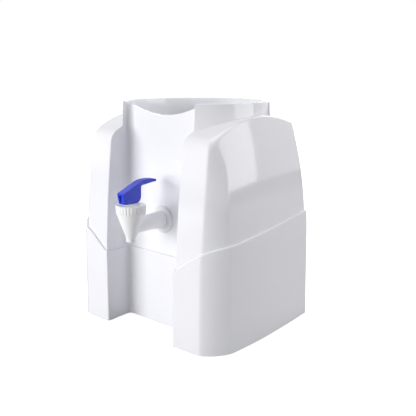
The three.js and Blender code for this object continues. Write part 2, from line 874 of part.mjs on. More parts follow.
function makeBonnet() {
  const turns = levels(0, 2 * Math.PI, 2 * bonnetFlutes).slice(1);
  const ring = (radius, z) => turns.map((angle, i) => {
    const r = radius - (i % 2) * fluteDepth;
    return new THREE.Vector3(r * Math.cos(angle), r * Math.sin(angle), z);
  });
  const plug = tube(spigotRadius, springPocket, bonnetFoot - spigotDepth, bonnetFoot + 1, mediumTurn);
  const hole = rod(stemRadius + clearance, 0, barrelTop + 1, smallTurn);
  return loft([
    ring(barrelTopRadius, bonnetFoot),
    ring(bonnetRadius, barrelTop - 1),
    ring(bonnetRadius - 1, barrelTop),
  ])
    .subtract(rod(springPocket, 0, plateFoot, mediumTurn))
    .add(plug)
    .subtract(hole);
}

piece(barrel, 'tap_bonnet', makeBonnet(), tapWhite);

const oRingTop = plateFoot - clearance;
const oRingBottom = oRingTop - 2;

piece(
  barrel,
  'stem_seal',
  tube(springRadius - springWire, stemRadius + clearance, oRingBottom, oRingTop, smallTurn),
  silicone,
);

function makeSpring() {
  const bottom = collarDisc.bottom + collarDisc.thickness + clearance + springWire;
  const top = plateFoot - clearance - springWire;
  class Helix extends THREE.Curve {
    getPoint(t) {
      const angle = t * springTurns * 2 * Math.PI;
      return new THREE.Vector3(
        springRadius * Math.cos(angle),
        springRadius * Math.sin(angle),
        bottom + (top - bottom) * t,
      );
    }
  }
  const sides = levels(0, 2 * Math.PI, 6).slice(1);
  const wire = new THREE.Shape(sides.map((angle) => (
    new THREE.Vector2(Math.cos(angle), Math.sin(angle)).multiplyScalar(springWire / 2)
  )));
  return new THREE.ExtrudeGeometry(wire, {
    extrudePath: new Helix(),
    steps: springTurns * 12,
    bevelEnabled: false,
  });
}

piece(barrel, 'tap_spring', toSolid(makeSpring()), steel);

// ---------------------------------------------------------------------------
// Moving parts of the tap
// ---------------------------------------------------------------------------

const ringFoot = barrelTop + clearance;
const leverFoot = ringFoot + slipRingThickness + clearance;
const pinLevel = leverFoot + pinHeight;

piece(
  barrel,
  'slip_ring',
  tube(slipRingRadius, stemRadius + clearance, ringFoot, ringFoot + slipRingThickness, mediumTurn),
  tapWhite,
);

function makeStem() {
  const eye = 3 + pinRadius;
  const turnedStem = toSolid(turned([
    [0, valveSeat + plugHeight - 4],
    [stemRadius + 1, valveSeat + plugHeight - 4],
    [stemRadius, valveSeat + plugHeight],
    [stemRadius, collarDisc.bottom],
    [collarDisc.radius, collarDisc.bottom],
    [collarDisc.radius, collarDisc.bottom + collarDisc.thickness],
    [stemRadius, collarDisc.bottom + collarDisc.thickness],
    [stemRadius, pinLevel],
    [0, pinLevel],
  ], smallTurn));
  const head = new THREE.CylinderGeometry(eye, eye, 2 * stemRadius, mediumTurn).rotateZ(Math.PI / 2);
  const tongueHead = toSolid(head.translate(0, 0, pinLevel))
    .intersect(block([-stemRadius, stemRadius], [-stemRadius, stemRadius], [ringFoot, pinLevel + eye + 1]));
  const bore = new THREE.CylinderGeometry(pinRadius + clearance, pinRadius + clearance, 20, smallTurn);
  return turnedStem.add(tongueHead).subtract(toSolid(bore.rotateZ(Math.PI / 2).translate(0, 0, pinLevel)));
}

piece(barrel, 'tap_stem', makeStem(), tapWhite);

function makePlug() {
  const foot = valveSeat + clearance;
  const socket = toSolid(turned([
    [0, valveSeat + plugHeight - 4 - clearance],
    [stemRadius + 1 + clearance, valveSeat + plugHeight - 4 - clearance],
    [stemRadius + clearance, valveSeat + plugHeight + clearance],
    [0, valveSeat + plugHeight + clearance],
  ], smallTurn));
  return toSolid(turned([
    [0, foot],
    [plugRadius - 1, foot],
    [plugRadius, foot + 1],
    [plugRadius - 2, foot + plugHeight - clearance],
    [0, foot + plugHeight - clearance],
  ], mediumTurn)).subtract(socket);
}

piece(barrel, 'valve_plug', makePlug(), silicone);

const pin = new THREE.CylinderGeometry(pinRadius, pinRadius, 2 * pinHalfLength, 16).rotateZ(Math.PI / 2);
piece(barrel, 'lever_pin', toSolid(pin.translate(0, 0, pinLevel)), steel);

// Lever profile in the Y-Z plane, measured from the barrel's axis and the lever's flat foot.
function makeLever() {
  const side = new THREE.Shape();
  side.moveTo(-noseFoot, 0);
  side.lineTo(camOffset, 0);
  side.absarc(camOffset, camRadius, camRadius, -Math.PI / 2, 0, false);
  const back = camOffset + camRadius;
  const tipFoot = paddleEnd - paddleThickness;
  const tipRound = paddleThickness / 2;
  side.lineTo(back, paddleRoot - paddleFillet);
  side.quadraticCurveTo(back, paddleRoot, back + paddleFillet, paddleRoot);
  side.lineTo(paddleReach - tipRound, tipFoot);
  side.absarc(paddleReach - tipRound, tipFoot + tipRound, tipRound, -Math.PI / 2, Math.PI / 2, false);
  side.quadraticCurveTo(crownPoint.y + 8, crownPoint.z, crownPoint.y, crownPoint.z);
  side.quadraticCurveTo(shoulderPoint.y + 8, crownPoint.z, shoulderPoint.y, shoulderPoint.z);
  side.lineTo(-noseReach, noseHeight);
  side.closePath();
  const bevel = 0.8;
  const blank = acrossX(tidyOutline(side, 8), leverWidth - 2 * bevel, {
    bevelEnabled: true,
    bevelSize: bevel,
    bevelOffset: -bevel,
    bevelThickness: bevel,
    bevelSegments: 2,
  });

  const plan = new THREE.Shape();
  plan.moveTo(-leverWidth, -noseReach - 2);
  plan.lineTo(leverWidth, -noseReach - 2);
  plan.lineTo(leverWidth / 2, camOffset + camRadius);
  plan.lineTo(paddleTipWidth / 2, paddleReach - 3);
  plan.quadraticCurveTo(paddleTipWidth / 2, paddleReach + 1, 0, paddleReach + 1);
  plan.quadraticCurveTo(-paddleTipWidth / 2, paddleReach + 1, -paddleTipWidth / 2, paddleReach - 3);
  plan.lineTo(-leverWidth / 2, camOffset + camRadius);
  plan.closePath();
  const planBar = new THREE.ExtrudeGeometry(tidyOutline(plan, 6), { depth: 60, bevelEnabled: false });

  const fork = block([-forkWidth / 2, forkWidth / 2], [-9, 7.5], [-1, pinHeight + pinRadius + 5]);
  const window = block([-3, 3], [-noseReach - 1, -noseFoot + 0.6], [1.5, noseHeight - 2.5]);
  const sockets = new THREE.CylinderGeometry(
    pinRadius + clearance,
    pinRadius + clearance,
    2 * (pinHalfLength + clearance),
    16,
  );
  return toSolid(blank)
    .intersect(toSolid(planBar.translate(0, 0, -5)))
    .subtract(fork)
    .subtract(window)
    .subtract(toSolid(sockets.rotateZ(Math.PI / 2).translate(0, 0, pinHeight)))
    .translate(0, 0, leverFoot);
}

piece(barrel, 'tap_lever', makeLever(), leverBlue);

// The origin lies under the middle of the whole dispenser, tap included.
dispenser.updateMatrixWorld(true);
const reach = new THREE.Box3().setFromObject(dispenser);
dispenser.position.y = -(reach.min.y + reach.max.y) / 2;

export default dispenser;
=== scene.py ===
# %% [markdown]
# # A countertop water dispenser
#
# A white moulded housing carries an inverted bottle, and a lever tap in a recess draws the water.
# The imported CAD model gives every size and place. This lesson dresses it: the large mouldings and
# the tap are made again with smooth surfaces and soft edges, and every piece gets a material.

import math

import bmesh
import bpy
import numpy as np
from mathutils import Matrix, Vector


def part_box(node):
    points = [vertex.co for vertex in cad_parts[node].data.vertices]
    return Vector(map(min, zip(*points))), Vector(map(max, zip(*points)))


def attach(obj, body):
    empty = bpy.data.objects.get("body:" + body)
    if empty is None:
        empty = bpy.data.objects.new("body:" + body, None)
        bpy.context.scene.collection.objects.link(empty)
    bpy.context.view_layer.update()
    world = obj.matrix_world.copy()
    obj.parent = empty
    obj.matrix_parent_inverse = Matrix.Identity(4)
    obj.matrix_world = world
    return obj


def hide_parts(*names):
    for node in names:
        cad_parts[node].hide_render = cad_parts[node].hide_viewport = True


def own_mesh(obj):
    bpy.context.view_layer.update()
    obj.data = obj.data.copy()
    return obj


MM = 0.001
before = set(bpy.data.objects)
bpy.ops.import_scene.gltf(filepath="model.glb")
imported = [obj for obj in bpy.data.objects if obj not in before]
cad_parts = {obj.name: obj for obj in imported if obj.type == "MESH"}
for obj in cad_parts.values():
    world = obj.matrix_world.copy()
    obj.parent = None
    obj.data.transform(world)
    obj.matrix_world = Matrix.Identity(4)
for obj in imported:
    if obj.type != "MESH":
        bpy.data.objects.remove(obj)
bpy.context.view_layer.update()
scene = bpy.context.scene

# %% [markdown]
# ## Camera
#
# A product shot: the camera stands a little above the rim and to the right, so that the recess,
# the tap and one long side all show. A lens of about 50 mm keeps the uprights nearly parallel.

# %% Place the camera
CAMERA_AT = (0.5444, -0.6133, 0.3455)
CAMERA_AIM = (0.02489, 0.01477, 0.15883)


def look_at(thing, point):
    direction = Vector(point) - thing.location
    thing.rotation_euler = direction.to_track_quat("-Z", "Y").to_euler()


camera = bpy.data.objects.new("camera", bpy.data.cameras.new("camera"))
scene.collection.objects.link(camera)
camera.data.lens = 50.45
camera.data.sensor_width = 36
camera.data.clip_start = 0.01
camera.location = CAMERA_AT
look_at(camera, CAMERA_AIM)
scene.camera = camera
print("camera", [round(x, 3) for x in camera.location])

# %% [markdown]
# ## Floor and room
#
# The floor is a matt painted sweep. It looks white to the camera but throws back little light, so
# that the lower walls keep their shade: its paint is a light grey, and a glow is added that only
# the camera sees, directly or through something clear. Close to the feet the glow is weaker,
# because a contact shadow belongs there. The room is white where it is seen or reflected, and
# almost dark as a source of light, so that the lamps alone shape the body.


# %% Colours, nodes and empty materials
def linear(code):
    """An sRGB hex colour as the linear RGBA that shaders work in."""
    channels = [int(code[i:i + 2], 16) / 255 for i in (1, 3, 5)]
    return (*[c / 12.92 if c <= 0.04045 else ((c + 0.055) / 1.055) ** 2.4 for c in channels], 1.0)


def add_node(material, kind, settings=None, links=None):
    """Adds one node. settings go on its properties or sockets, links are socket: source socket."""
    node = material.node_tree.nodes.new(kind)
    for key, value in (settings or {}).items():
        if isinstance(key, str) and hasattr(node, key):
            setattr(node, key, value)
        else:
            node.inputs[key].default_value = value
    for key, source in (links or {}).items():
        material.node_tree.links.new(source, node.inputs[key])
    return node


def new_material(name):
    """An empty node material and its output node."""
    material = bpy.data.materials.new(name)
    material.use_nodes = True
    material.node_tree.nodes.clear()
    return material, add_node(material, "ShaderNodeOutputMaterial")


print("middle grey in linear light:", round(linear("#808080")[0], 3))

# %% Lay the floor, with distances in metres
FLOOR_HALF = 15
GLOW_NEAR, GLOW_FAR = 0.2, 0.7
WEAK_GLOW, FULL_GLOW = 0.8, 1.0

corners = [(x * FLOOR_HALF, y * FLOOR_HALF, 0) for x, y in ((-1, -1), (1, -1), (1, 1), (-1, 1))]
floor = bpy.data.objects.new("floor", bpy.data.meshes.new("floor"))
floor.data.from_pydata(corners, [], [(0, 1, 2, 3)])
scene.collection.objects.link(floor)

sweep, sweep_out = new_material("painted sweep, matt")
path = add_node(sweep, "ShaderNodeLightPath")
seen = add_node(sweep, "ShaderNodeMath", {"operation": "MAXIMUM"},
                {0: path.outputs["Is Camera Ray"], 1: path.outputs["Is Transmission Ray"]})
floor_place = add_node(sweep, "ShaderNodeTexCoord")
from_middle = add_node(sweep, "ShaderNodeVectorMath", {"operation": "LENGTH"},
                       {0: floor_place.outputs["Object"]})
glow = add_node(sweep, "ShaderNodeMapRange",
                {"From Min": GLOW_NEAR, "From Max": GLOW_FAR, "To Min": WEAK_GLOW,
                 "To Max": FULL_GLOW}, {"Value": from_middle.outputs["Value"]})
seen_glow = add_node(sweep, "ShaderNodeMath", {"operation": "MULTIPLY"},
                     {0: seen.outputs[0], 1: glow.outputs[0]})
paint = add_node(sweep, "ShaderNodeBsdfDiffuse", {"Color": linear("#C4C4C6")})
white = add_node(sweep, "ShaderNodeEmission", {"Color": linear("#FFFFFF")},
                 {"Strength": seen_glow.outputs[0]})
both = add_node(sweep, "ShaderNodeAddShader", {}, {0: paint.outputs[0], 1: white.outputs[0]})
sweep.node_tree.links.new(both.outputs[0], sweep_out.inputs["Surface"])
floor.data.materials.append(sweep)
print("floor:", 2 * FLOOR_HALF, "m wide")

# %% Whiten the room
ROOM_FILL = 0.05

world = bpy.data.worlds.new("white room")
scene.world = world
world.use_nodes = True
world.node_tree.nodes.clear()
world_out = add_node(world, "ShaderNodeOutputWorld")
ray = add_node(world, "ShaderNodeLightPath")
fill = add_node(world, "ShaderNodeBackground", {"Color": linear("#F2F3F8"), "Strength": ROOM_FILL})
shown = add_node(world, "ShaderNodeBackground", {"Color": linear("#FFFFFF"), "Strength": 1.0})
seen_through = add_node(world, "ShaderNodeMath", {"operation": "MAXIMUM"},
                        {0: ray.outputs["Is Camera Ray"], 1: ray.outputs["Is Transmission Ray"]})
seen_or_reflected = add_node(world, "ShaderNodeMath", {"operation": "MAXIMUM"},
                             {0: seen_through.outputs[0], 1: ray.outputs["Is Glossy Ray"]})
room = add_node(world, "ShaderNodeMixShader", {},
                {"Fac": seen_or_reflected.outputs[0], 1: fill.outputs[0], 2: shown.outputs[0]})
world.node_tree.links.new(room.outputs[0], world_out.inputs["Surface"])
print("room:", world.name, "with a fill of", ROOM_FILL)

# %% [markdown]
# ## Four softboxes
#
# The first stands in front, low, wide and a little to the left, and lights the face and the panel
# evenly. It is kept out of reflections, because its edge would draw a line across every flat front
# face. The second stands on the right and slightly behind: it lights the side, and shows as soft
# reflections in the side and the collar. The third hangs overhead for the shoulders. The fourth
# stands behind on the left, so that the walls on the far side don't sink into grey.

# %% Hang the softboxes
BODY_MIDDLE = (0, 0, 0.15)


def softbox(name, place, aim, size, watts):
    lamp = bpy.data.lights.new(name, "AREA")
    lamp.shape = "RECTANGLE"
    lamp.size, lamp.size_y = size
    lamp.energy = watts
    thing = bpy.data.objects.new(name, lamp)
    thing.location = place
    look_at(thing, aim)
    scene.collection.objects.link(thing)
    return thing


def toward(azimuth, elevation, distance):
    """A place seen from the body's middle: azimuth from the front to the right, in degrees."""
    turn, rise = math.radians(azimuth), math.radians(elevation)
    return (distance * math.cos(rise) * math.sin(turn), -distance * math.cos(rise) * math.cos(turn),
            distance * math.sin(rise) + BODY_MIDDLE[2])


front = softbox("front_softbox", toward(-20, 8, 2.4), BODY_MIDDLE, size=(1.9, 1.2), watts=59)
front.visible_glossy = False
softbox("right_softbox", toward(118, 23, 2.3), BODY_MIDDLE, size=(1.6, 1.8), watts=27)
softbox("top_softbox", (0.0, 0.3, 2.2), (0, 0, 0.2), size=(1.6, 1.6), watts=16)
softbox("rear_softbox", toward(-150, 24, 2.6), BODY_MIDDLE, size=(2.0, 1.6), watts=24)

# %% [markdown]
# ## Moulded plastics and rubber
#
# The housing is ABS, injected into a polished steel mould: a dense white with a clear gloss, and
# under a raking light a very slight waviness where the plastic flowed and shrank. The gloss isn't
# quite even, because handling and wiping dull it in patches. The tap is acetal, harder and a touch
# warmer, with a satin gloss. The tank and seat are polypropylene, whose duller skin comes from a
# blasted mould. The seals are pressed silicone, milky and soft in sheen, and the feet are nitrile
# rubber, dark and matt from the soot in it.
#
# Each is one shader whose colour, roughness and relief come from noise, at the size that the real
# process gives. Only the grain is coarser than it is: the mould's own is a few hundredths of a
# millimetre and would not show.

# %% One recipe for everything that comes out of a mould
COLOUR_A, COLOUR_B, COLOUR_OUT = 6, 7, 2  # the colour sockets of a Mix node
NOISE_LOW, NOISE_HIGH = 0.3, 0.7  # noise seldom leaves this range


def moulded_plastic(name, light, shade, ior, rough, wave, grain, edge):
    """A moulded skin, whose colour and gloss drift with the flow and whose relief is the mould's.

    rough is a range of roughness. wave and grain are (size, depth) and edge is the radius that
    softens the shading of a sharp edge, in millimetres.
    """
    material, out = new_material(name)
    place = add_node(material, "ShaderNodeTexCoord")
    flow = add_node(material, "ShaderNodeTexNoise", {"Scale": 1 / (wave[0] * MM), "Detail": 2.0},
                    {"Vector": place.outputs["Object"]})
    fine = add_node(material, "ShaderNodeTexNoise", {"Scale": 1 / (grain[0] * MM), "Detail": 3.0},
                    {"Vector": place.outputs["Object"]})
    colour = add_node(material, "ShaderNodeMix",
                      {"data_type": "RGBA", COLOUR_A: linear(light), COLOUR_B: linear(shade)},
                      {0: flow.outputs["Fac"]})
    gloss = add_node(material, "ShaderNodeMapRange",
                     {"From Min": NOISE_LOW, "From Max": NOISE_HIGH,
                      "To Min": rough[0], "To Max": rough[1]}, {"Value": flow.outputs["Fac"]})
    bevel = add_node(material, "ShaderNodeBevel", {"samples": 6, "Radius": edge * MM})
    wavy = add_node(material, "ShaderNodeBump", {"Strength": 1.0, "Distance": wave[1] * MM},
                    {"Height": flow.outputs["Fac"], "Normal": bevel.outputs[0]})
    relief = add_node(material, "ShaderNodeBump", {"Strength": 1.0, "Distance": grain[1] * MM},
                      {"Height": fine.outputs["Fac"], "Normal": wavy.outputs[0]})
    skin = add_node(material, "ShaderNodeBsdfPrincipled", {"IOR": ior},
                    {"Base Color": colour.outputs[COLOUR_OUT], "Roughness": gloss.outputs[0],
                     "Normal": relief.outputs[0]})
    material.node_tree.links.new(skin.outputs[0], out.inputs["Surface"])
    return material


abs_white = moulded_plastic("ABS, injection-moulded, gloss white", "#F6F6FA", "#F3F3F8", 1.54,
                            rough=(0.07, 0.12), wave=(45, 0.05), grain=(1.2, 0.002), edge=1.1)
acetal_white = moulded_plastic("acetal, injection-moulded, white", "#FBFBFB", "#F8F8F9", 1.48,
                               rough=(0.29, 0.35), wave=(15, 0.01), grain=(0.8, 0.003), edge=0.6)
tank_polypropylene = moulded_plastic("polypropylene, satin, natural white", "#E9EDEF", "#E4E8EB",
                                     1.49, rough=(0.38, 0.46), wave=(30, 0.03),
                                     grain=(0.9, 0.008), edge=0.8)
blue_abs = moulded_plastic("ABS, injection-moulded, gloss blue", "#2B43DE", "#273DD2", 1.54,
                           rough=(0.12, 0.18), wave=(12, 0.01), grain=(0.7, 0.002), edge=0.5)
silicone = moulded_plastic("silicone rubber, pressed, milky", "#E4E2DA", "#DAD8CF", 1.41,
                           rough=(0.5, 0.62), wave=(8, 0.01), grain=(0.5, 0.006), edge=0.4)
foot_rubber = moulded_plastic("nitrile rubber, pressed, dark grey", "#3A3A3C", "#2E2E30", 1.52,
                              rough=(0.68, 0.82), wave=(6, 0.02), grain=(0.4, 0.012), edge=0.5)
plastics = (abs_white, acetal_white, tank_polypropylene, blue_abs, silicone, foot_rubber)
print("moulded:", [material.name for material in plastics])

# %% [markdown]
# ## Metals
#
# The screws, the lever's pin and the spring are steel. Zinc plating is a thin bluish-grey crystal
# skin that scatters the light unevenly. The spring is stainless wire, drawn through a die, which
# leaves faint lines along it. Both patterns are drawn a few times coarser than they are, to show.


# %% Plated and drawn steel
def steel(name, light, shade, rough, grain, stretch):
    """Bare metal. rough is a range, grain is (size, depth) in millimetres, stretch is its lay."""
    material, out = new_material(name)
    place = add_node(material, "ShaderNodeTexCoord")
    lay = add_node(material, "ShaderNodeMapping", {"Scale": stretch},
                   {"Vector": place.outputs["Object"]})
    fine = add_node(material, "ShaderNodeTexNoise", {"Scale": 1 / (grain[0] * MM), "Detail": 4.0},
                    {"Vector": lay.outputs[0]})
    colour = add_node(material, "ShaderNodeMix",
                      {"data_type": "RGBA", COLOUR_A: linear(light), COLOUR_B: linear(shade)},
                      {0: fine.outputs["Fac"]})
    gloss = add_node(material, "ShaderNodeMapRange", {"To Min": rough[0], "To Max": rough[1]},
                     {"Value": fine.outputs["Fac"]})
    relief = add_node(material, "ShaderNodeBump", {"Strength": 1.0, "Distance": grain[1] * MM},
                      {"Height": fine.outputs["Fac"]})
    skin = add_node(material, "ShaderNodeBsdfPrincipled", {"Metallic": 1.0},
                    {"Base Color": colour.outputs[COLOUR_OUT], "Roughness": gloss.outputs[0],
                     "Normal": relief.outputs[0]})
    material.node_tree.links.new(skin.outputs[0], out.inputs["Surface"])
    return material


zinc_steel = steel("steel, zinc-plated", "#C9CCD0", "#A9ADB2", rough=(0.28, 0.45),
                   grain=(0.8, 0.004), stretch=(1, 1, 1))
spring_wire = steel("stainless wire, drawn", "#C6C7C9", "#9FA1A4", rough=(0.2, 0.38),
                    grain=(0.4, 0.004), stretch=(1, 1, 0.2))
print("metals:", zinc_steel.name, "and", spring_wire.name)

# %% [markdown]
# ## Form of the housing
#
# Both mouldings follow one form. At each height it is a ring. In front, a nearly flat face turns
# over a tight knee into a flank that bows out, up to a crease. Behind, the flank is straight and
# the knee wide. The sides between the creases bow slightly. Each part of the ring leans in by its
# own curve. A subdivision cage could give such a body, but the crease, the knee and the lean are
# all known as functions of height, so the rings are written directly, dense enough to shade
# smoothly.

# %% Sizes of the form, in millimetres
COLLAR_Y = 4.5
probe_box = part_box("bottle_probe")
SHIFT = (probe_box[0].y + probe_box[1].y) / 2 * 1000 - COLLAR_Y  # from the CAD's own origin
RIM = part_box("upper_cover")[1].z * 1000

FACE_DEPTH = 112.4
CREASE_X, CREASE_Y = 134.4, 86.5
SIDE_BOW = 1.5
FLANK_START, FLANK_TOP = 100.0, RIM - 20
FRONT_INSET, FRONT_KNEE, KNEE_ROUND, FLANK_RADIUS, FACE_BOW = 4.2, 106.3, 2.4, 58.0, 2.0
REAR_KNEE, REAR_ROUND = 112.0, 28.0
CREASE_ROUND_FRONT, CREASE_ROUND_REAR = 1.5, 1.2
RECESS_HALF = 65.0

# How far each thing leans in by the flank's top, and the power of its curve.
CREASE_IN, CREASE_ALONG = (23.5, 2.6), (13, 1.6)
FRONT_LEAN, REAR_LEAN = (19.0, 1.4), (4.0, 1.4)
REAR_KNEE_IN, REAR_ROUND_LOSS = (28.0, 1.5), (22.0, 1)
print("shift of the row frame:", round(SHIFT, 4), "mm")


# %% Lines and corners that the ring is made of
def lean(z, reach, power):
    """How far something leans in at height z: nothing below the flank's start."""
    return reach * max(0.0, (z - FLANK_START) / (FLANK_TOP - FLANK_START)) ** power


def mitre(corner, before, after, grow):
    """A corner moved outwards, given the normals of the lines that meet there."""
    return corner + (before + after) * grow / (1 + before.dot(after))


def quadratic(a, b, c, shares):
    """Points on the curve that leaves a towards b and arrives at c."""
    return [a * (1 - t) ** 2 + b * 2 * t * (1 - t) + c * t * t for t in shares]


def crease_at(z, inset):
    return Vector((CREASE_X - inset - lean(z, *CREASE_IN), CREASE_Y - lean(z, *CREASE_ALONG)))


def side_points(crease, inset):
    """The bowed side from its middle to just short of the crease."""
    bow = SIDE_BOW + inset
    return [Vector((crease.x + bow * (1 - s * s), crease.y * s)) for s in np.linspace(0, 0.98, 15)]


print("crease at the top:", [round(x, 1) for x in crease_at(FLANK_TOP, 0)])

# %% The two kinds of quarter
SIDE_SLACK = 0.03
FACE_STEPS = (0.1, 0.3, 0.5, 0.7, 0.85, 1)


def rear_quarter(z, grow):
    """A quarter of one level behind, from the middle of the side to the middle of the rear face."""
    knee_at = Vector((REAR_KNEE - lean(z, *REAR_KNEE_IN), FACE_DEPTH - lean(z, *REAR_LEAN)))
    corner = crease_at(z, 0)
    flank = (corner - knee_at).normalized()
    flank_normal = Vector((-flank.y, flank.x))
    knee = mitre(knee_at, Vector((0, 1)), flank_normal, grow)
    crease = mitre(corner, flank_normal, Vector((1, 0)), grow)
    turn = math.acos(flank.x)
    half_turn = math.tan(turn / 2)
    tangent = min(REAR_ROUND - lean(z, *REAR_ROUND_LOSS) + grow * half_turn,
                  0.95 * (knee - crease).length)
    radius = tangent / half_turn

    def on_arc(angle):
        x = knee.x - tangent + radius * math.sin(angle)
        return Vector((x, knee.y - radius + radius * math.cos(angle)))

    before = Vector((crease.x + SIDE_SLACK, crease.y - CREASE_ROUND_REAR))
    after = crease - flank * CREASE_ROUND_REAR
    bend = quadratic(before, crease, after, (0, 0.25, 0.5, 0.75, 1))
    straight = [after.lerp(on_arc(turn), s) for s in (0.25, 0.5, 0.75)]
    arc = [on_arc(angle) for angle in np.linspace(turn, 0, 17)]
    flat = [Vector((x, knee.y)) for x in np.linspace(knee.x - tangent, 0, 9)[1:]]
    return side_points(crease, 0) + bend + straight + arc + flat


def front_quarter(z, grow):
    """A quarter of one level in front: a bowed flank meets the near-flat face at a tight knee."""
    corner = crease_at(z, FRONT_INSET)
    knee_at = Vector((min(FRONT_KNEE, corner.x - 5), FACE_DEPTH - lean(z, *FRONT_LEAN)))
    chord = corner - knee_at
    bulge = Vector((-chord.y, chord.x)) * chord.length / (4 * FLANK_RADIUS)
    pull = (knee_at + corner) / 2 + bulge

    def grown(t):
        along = ((pull - knee_at) * (1 - t) + (corner - pull) * t).normalized()
        return quadratic(knee_at, pull, corner, [t])[0] + Vector((-along.y, along.x)) * grow

    first, last = (pull - knee_at).normalized(), (corner - pull).normalized()
    knee = mitre(knee_at, Vector((0, 1)), Vector((-first.y, first.x)), grow)
    crease = mitre(corner, Vector((-last.y, last.x)), Vector((1, 0)), grow)
    knee_share, crease_share = KNEE_ROUND / chord.length, CREASE_ROUND_FRONT / chord.length
    face = Vector((knee.x - KNEE_ROUND, knee.y))
    middle = Vector((RECESS_HALF / 2, knee.y + FACE_BOW))
    side = side_points(crease, FRONT_INSET)
    bend = quadratic(side[-1], crease, grown(1 - crease_share), (0.25, 0.5, 0.75, 1))
    flank = [grown(t) for t in np.linspace(1 - crease_share, knee_share, 11)[1:-1]]
    soft_knee = quadratic(grown(knee_share), knee, face, np.linspace(0, 1, 9))
    flat = [face.lerp(middle, s) for s in FACE_STEPS]
    return side + bend + flank + soft_knee + flat + [Vector((0, middle.y))]


def ring(z, grow):
    """One level as (n, 3) points, anticlockwise from the middle of the right side."""
    rear, front = rear_quarter(z, grow), front_quarter(z, grow)
    outline = rear + [Vector((-p.x, p.y)) for p in reversed(rear[:-1])]
    outline += [Vector((-p.x, -p.y)) for p in front[1:]]
    outline += [Vector((p.x, -p.y)) for p in reversed(front[1:-1])]
    return np.array([(p.x, p.y, z) for p in outline])


print("points in a ring:", len(ring(150, 0)))

# %% [markdown]
# ## Skins, turned solids and booleans
#
# Solids are skinned over stacked rings. The mould's cores and cutters are made the same way, and
# are joined and cut with Boolean modifiers, which the Manifold solver does fast on closed meshes.
# Faces are shaded smooth, and only edges sharper than a given angle stay sharp.


# %% Make closed meshes
def solid(name, vertices, faces):
    """A closed mesh object from millimetres in the CAD's own frame."""
    mesh = bpy.data.meshes.new(name)
    points = (np.array(vertices, float) + (0, SHIFT, 0)) * MM
    mesh.from_pydata(points.tolist(), [], faces)
    thing = bpy.data.objects.new(name, mesh)
    scene.collection.objects.link(thing)
    made = bmesh.new()
    made.from_mesh(mesh)
    bmesh.ops.recalc_face_normals(made, faces=made.faces)
    made.to_mesh(mesh)
    made.free()
    return thing


def skinned(name, rings):
    """Rings of equal count, skinned and closed by a flat cap at each end."""
    count = len(rings[0])
    faces = []
    for level in range(len(rings) - 1):
        for i in range(count):
            a, b = level * count + i, level * count + (i + 1) % count
            faces.append((a, b, b + count, a + count))
    last = (len(rings) - 1) * count
    faces += [tuple(range(count))[::-1], tuple(range(last, last + count))]
    return solid(name, np.concatenate(rings), faces)


def prism(name, outline, low, high, axis=2):
    """A flat outline drawn out along one axis, from low to high."""
    flat = np.array([tuple(point) for point in outline], float)
    return skinned(name, [np.insert(flat, axis, reach, axis=1) for reach in (low, high)])


def box(name, xs, ys, zs):
    outline = [(xs[0], ys[0]), (xs[1], ys[0]), (xs[1], ys[1]), (xs[0], ys[1])]
    return prism(name, outline, *zs)


def turned(name, profile, segments=240, centre=(0, COLLAR_Y)):
    """A profile of (radius, z) pairs turned about an upright axis."""
    angles = np.linspace(0, 2 * math.pi, segments, endpoint=False)
    return skinned(name, [np.stack([centre[0] + radius * np.cos(angles),
                                    centre[1] + radius * np.sin(angles),
                                    np.full(segments, z)], 1) for radius, z in profile])


def arc_points(centre, radius, start, end, steps):
    """Points on a circle from one angle to another, in degrees."""
    return [(centre[0] + radius * math.cos(angle), centre[1] + radius * math.sin(angle))
            for angle in np.radians(np.linspace(start, end, steps))]


print("a quarter circle:", [round(x, 2) for x in arc_points((0, 0), 1, 0, 90, 3)[1]], "half-way")

# %% Combine, shade and dress them
MICRON = 0.001 * MM


def combine(target, other, operation):
    """Applies one boolean and removes the cutter."""
    step = target.modifiers.new("boolean", "BOOLEAN")
    step.operation = operation
    step.object = other
    step.solver = "MANIFOLD"
    evaluated = target.evaluated_get(bpy.context.evaluated_depsgraph_get())
    mesh = bpy.data.meshes.new_from_object(evaluated)
    target.modifiers.clear()
    target.data = mesh
    bpy.data.objects.remove(other)
    return target


def shade(thing, degrees):
    """Shades smooth, after merging points closer than a micron and dropping faces without body."""
    made = bmesh.new()
    made.from_mesh(thing.data)
    bmesh.ops.remove_doubles(made, verts=made.verts, dist=MICRON)
    many_sided = [face for face in made.faces if len(face.verts) > 4]
    bmesh.ops.triangulate(made, faces=many_sided)
    by_corners = {}
    for face in made.faces:
        by_corners.setdefault(frozenset(face.verts), []).append(face)
    slivers = [face for pair in by_corners.values() if len(pair) > 1 for face in pair]
    bmesh.ops.delete(made, geom=slivers, context="FACES")
    loose = [vertex for vertex in made.verts if not vertex.link_faces]
    bmesh.ops.delete(made, geom=loose, context="VERTS")
    made.to_mesh(thing.data)
    made.free()
    thing.data.shade_smooth()
    thing.data.set_sharp_from_angle(angle=math.radians(degrees))
    return thing


def dress(piece, node, body, look):
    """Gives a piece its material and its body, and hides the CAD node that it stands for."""
    piece.data.materials.clear()
    piece.data.materials.append(look)
    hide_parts(node)
    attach(piece, body)
    print(piece.name, len(piece.data.polygons), "faces")


# %% [markdown]
# ## Surfaces that close the form
#
# Over each shoulder the walls turn into an arch, and the skirt's wall ends in a swooping line. Both
# are the same job: the ring's points climb until they meet a surface, and the corner is rounded by
# a short curve at each point. The curve runs in towards the collar's centre, so that it never
# crosses itself where the wall bends.

# %% Walls that turn over into a top surface
ARCH_CREST, ARCH_RADIUS = RIM - 17, 204.0
WALL_RINGS, EDGE_RINGS = 46, 9
TOP_RINGS = (3, 7, 12, 19, 28, 40, 55)
FRONT_EDGE_EXTRA = 2.8
SOFT_EDGE_FROM, SOFT_EDGE_FULL = 50, 100  # how far in front of the middle


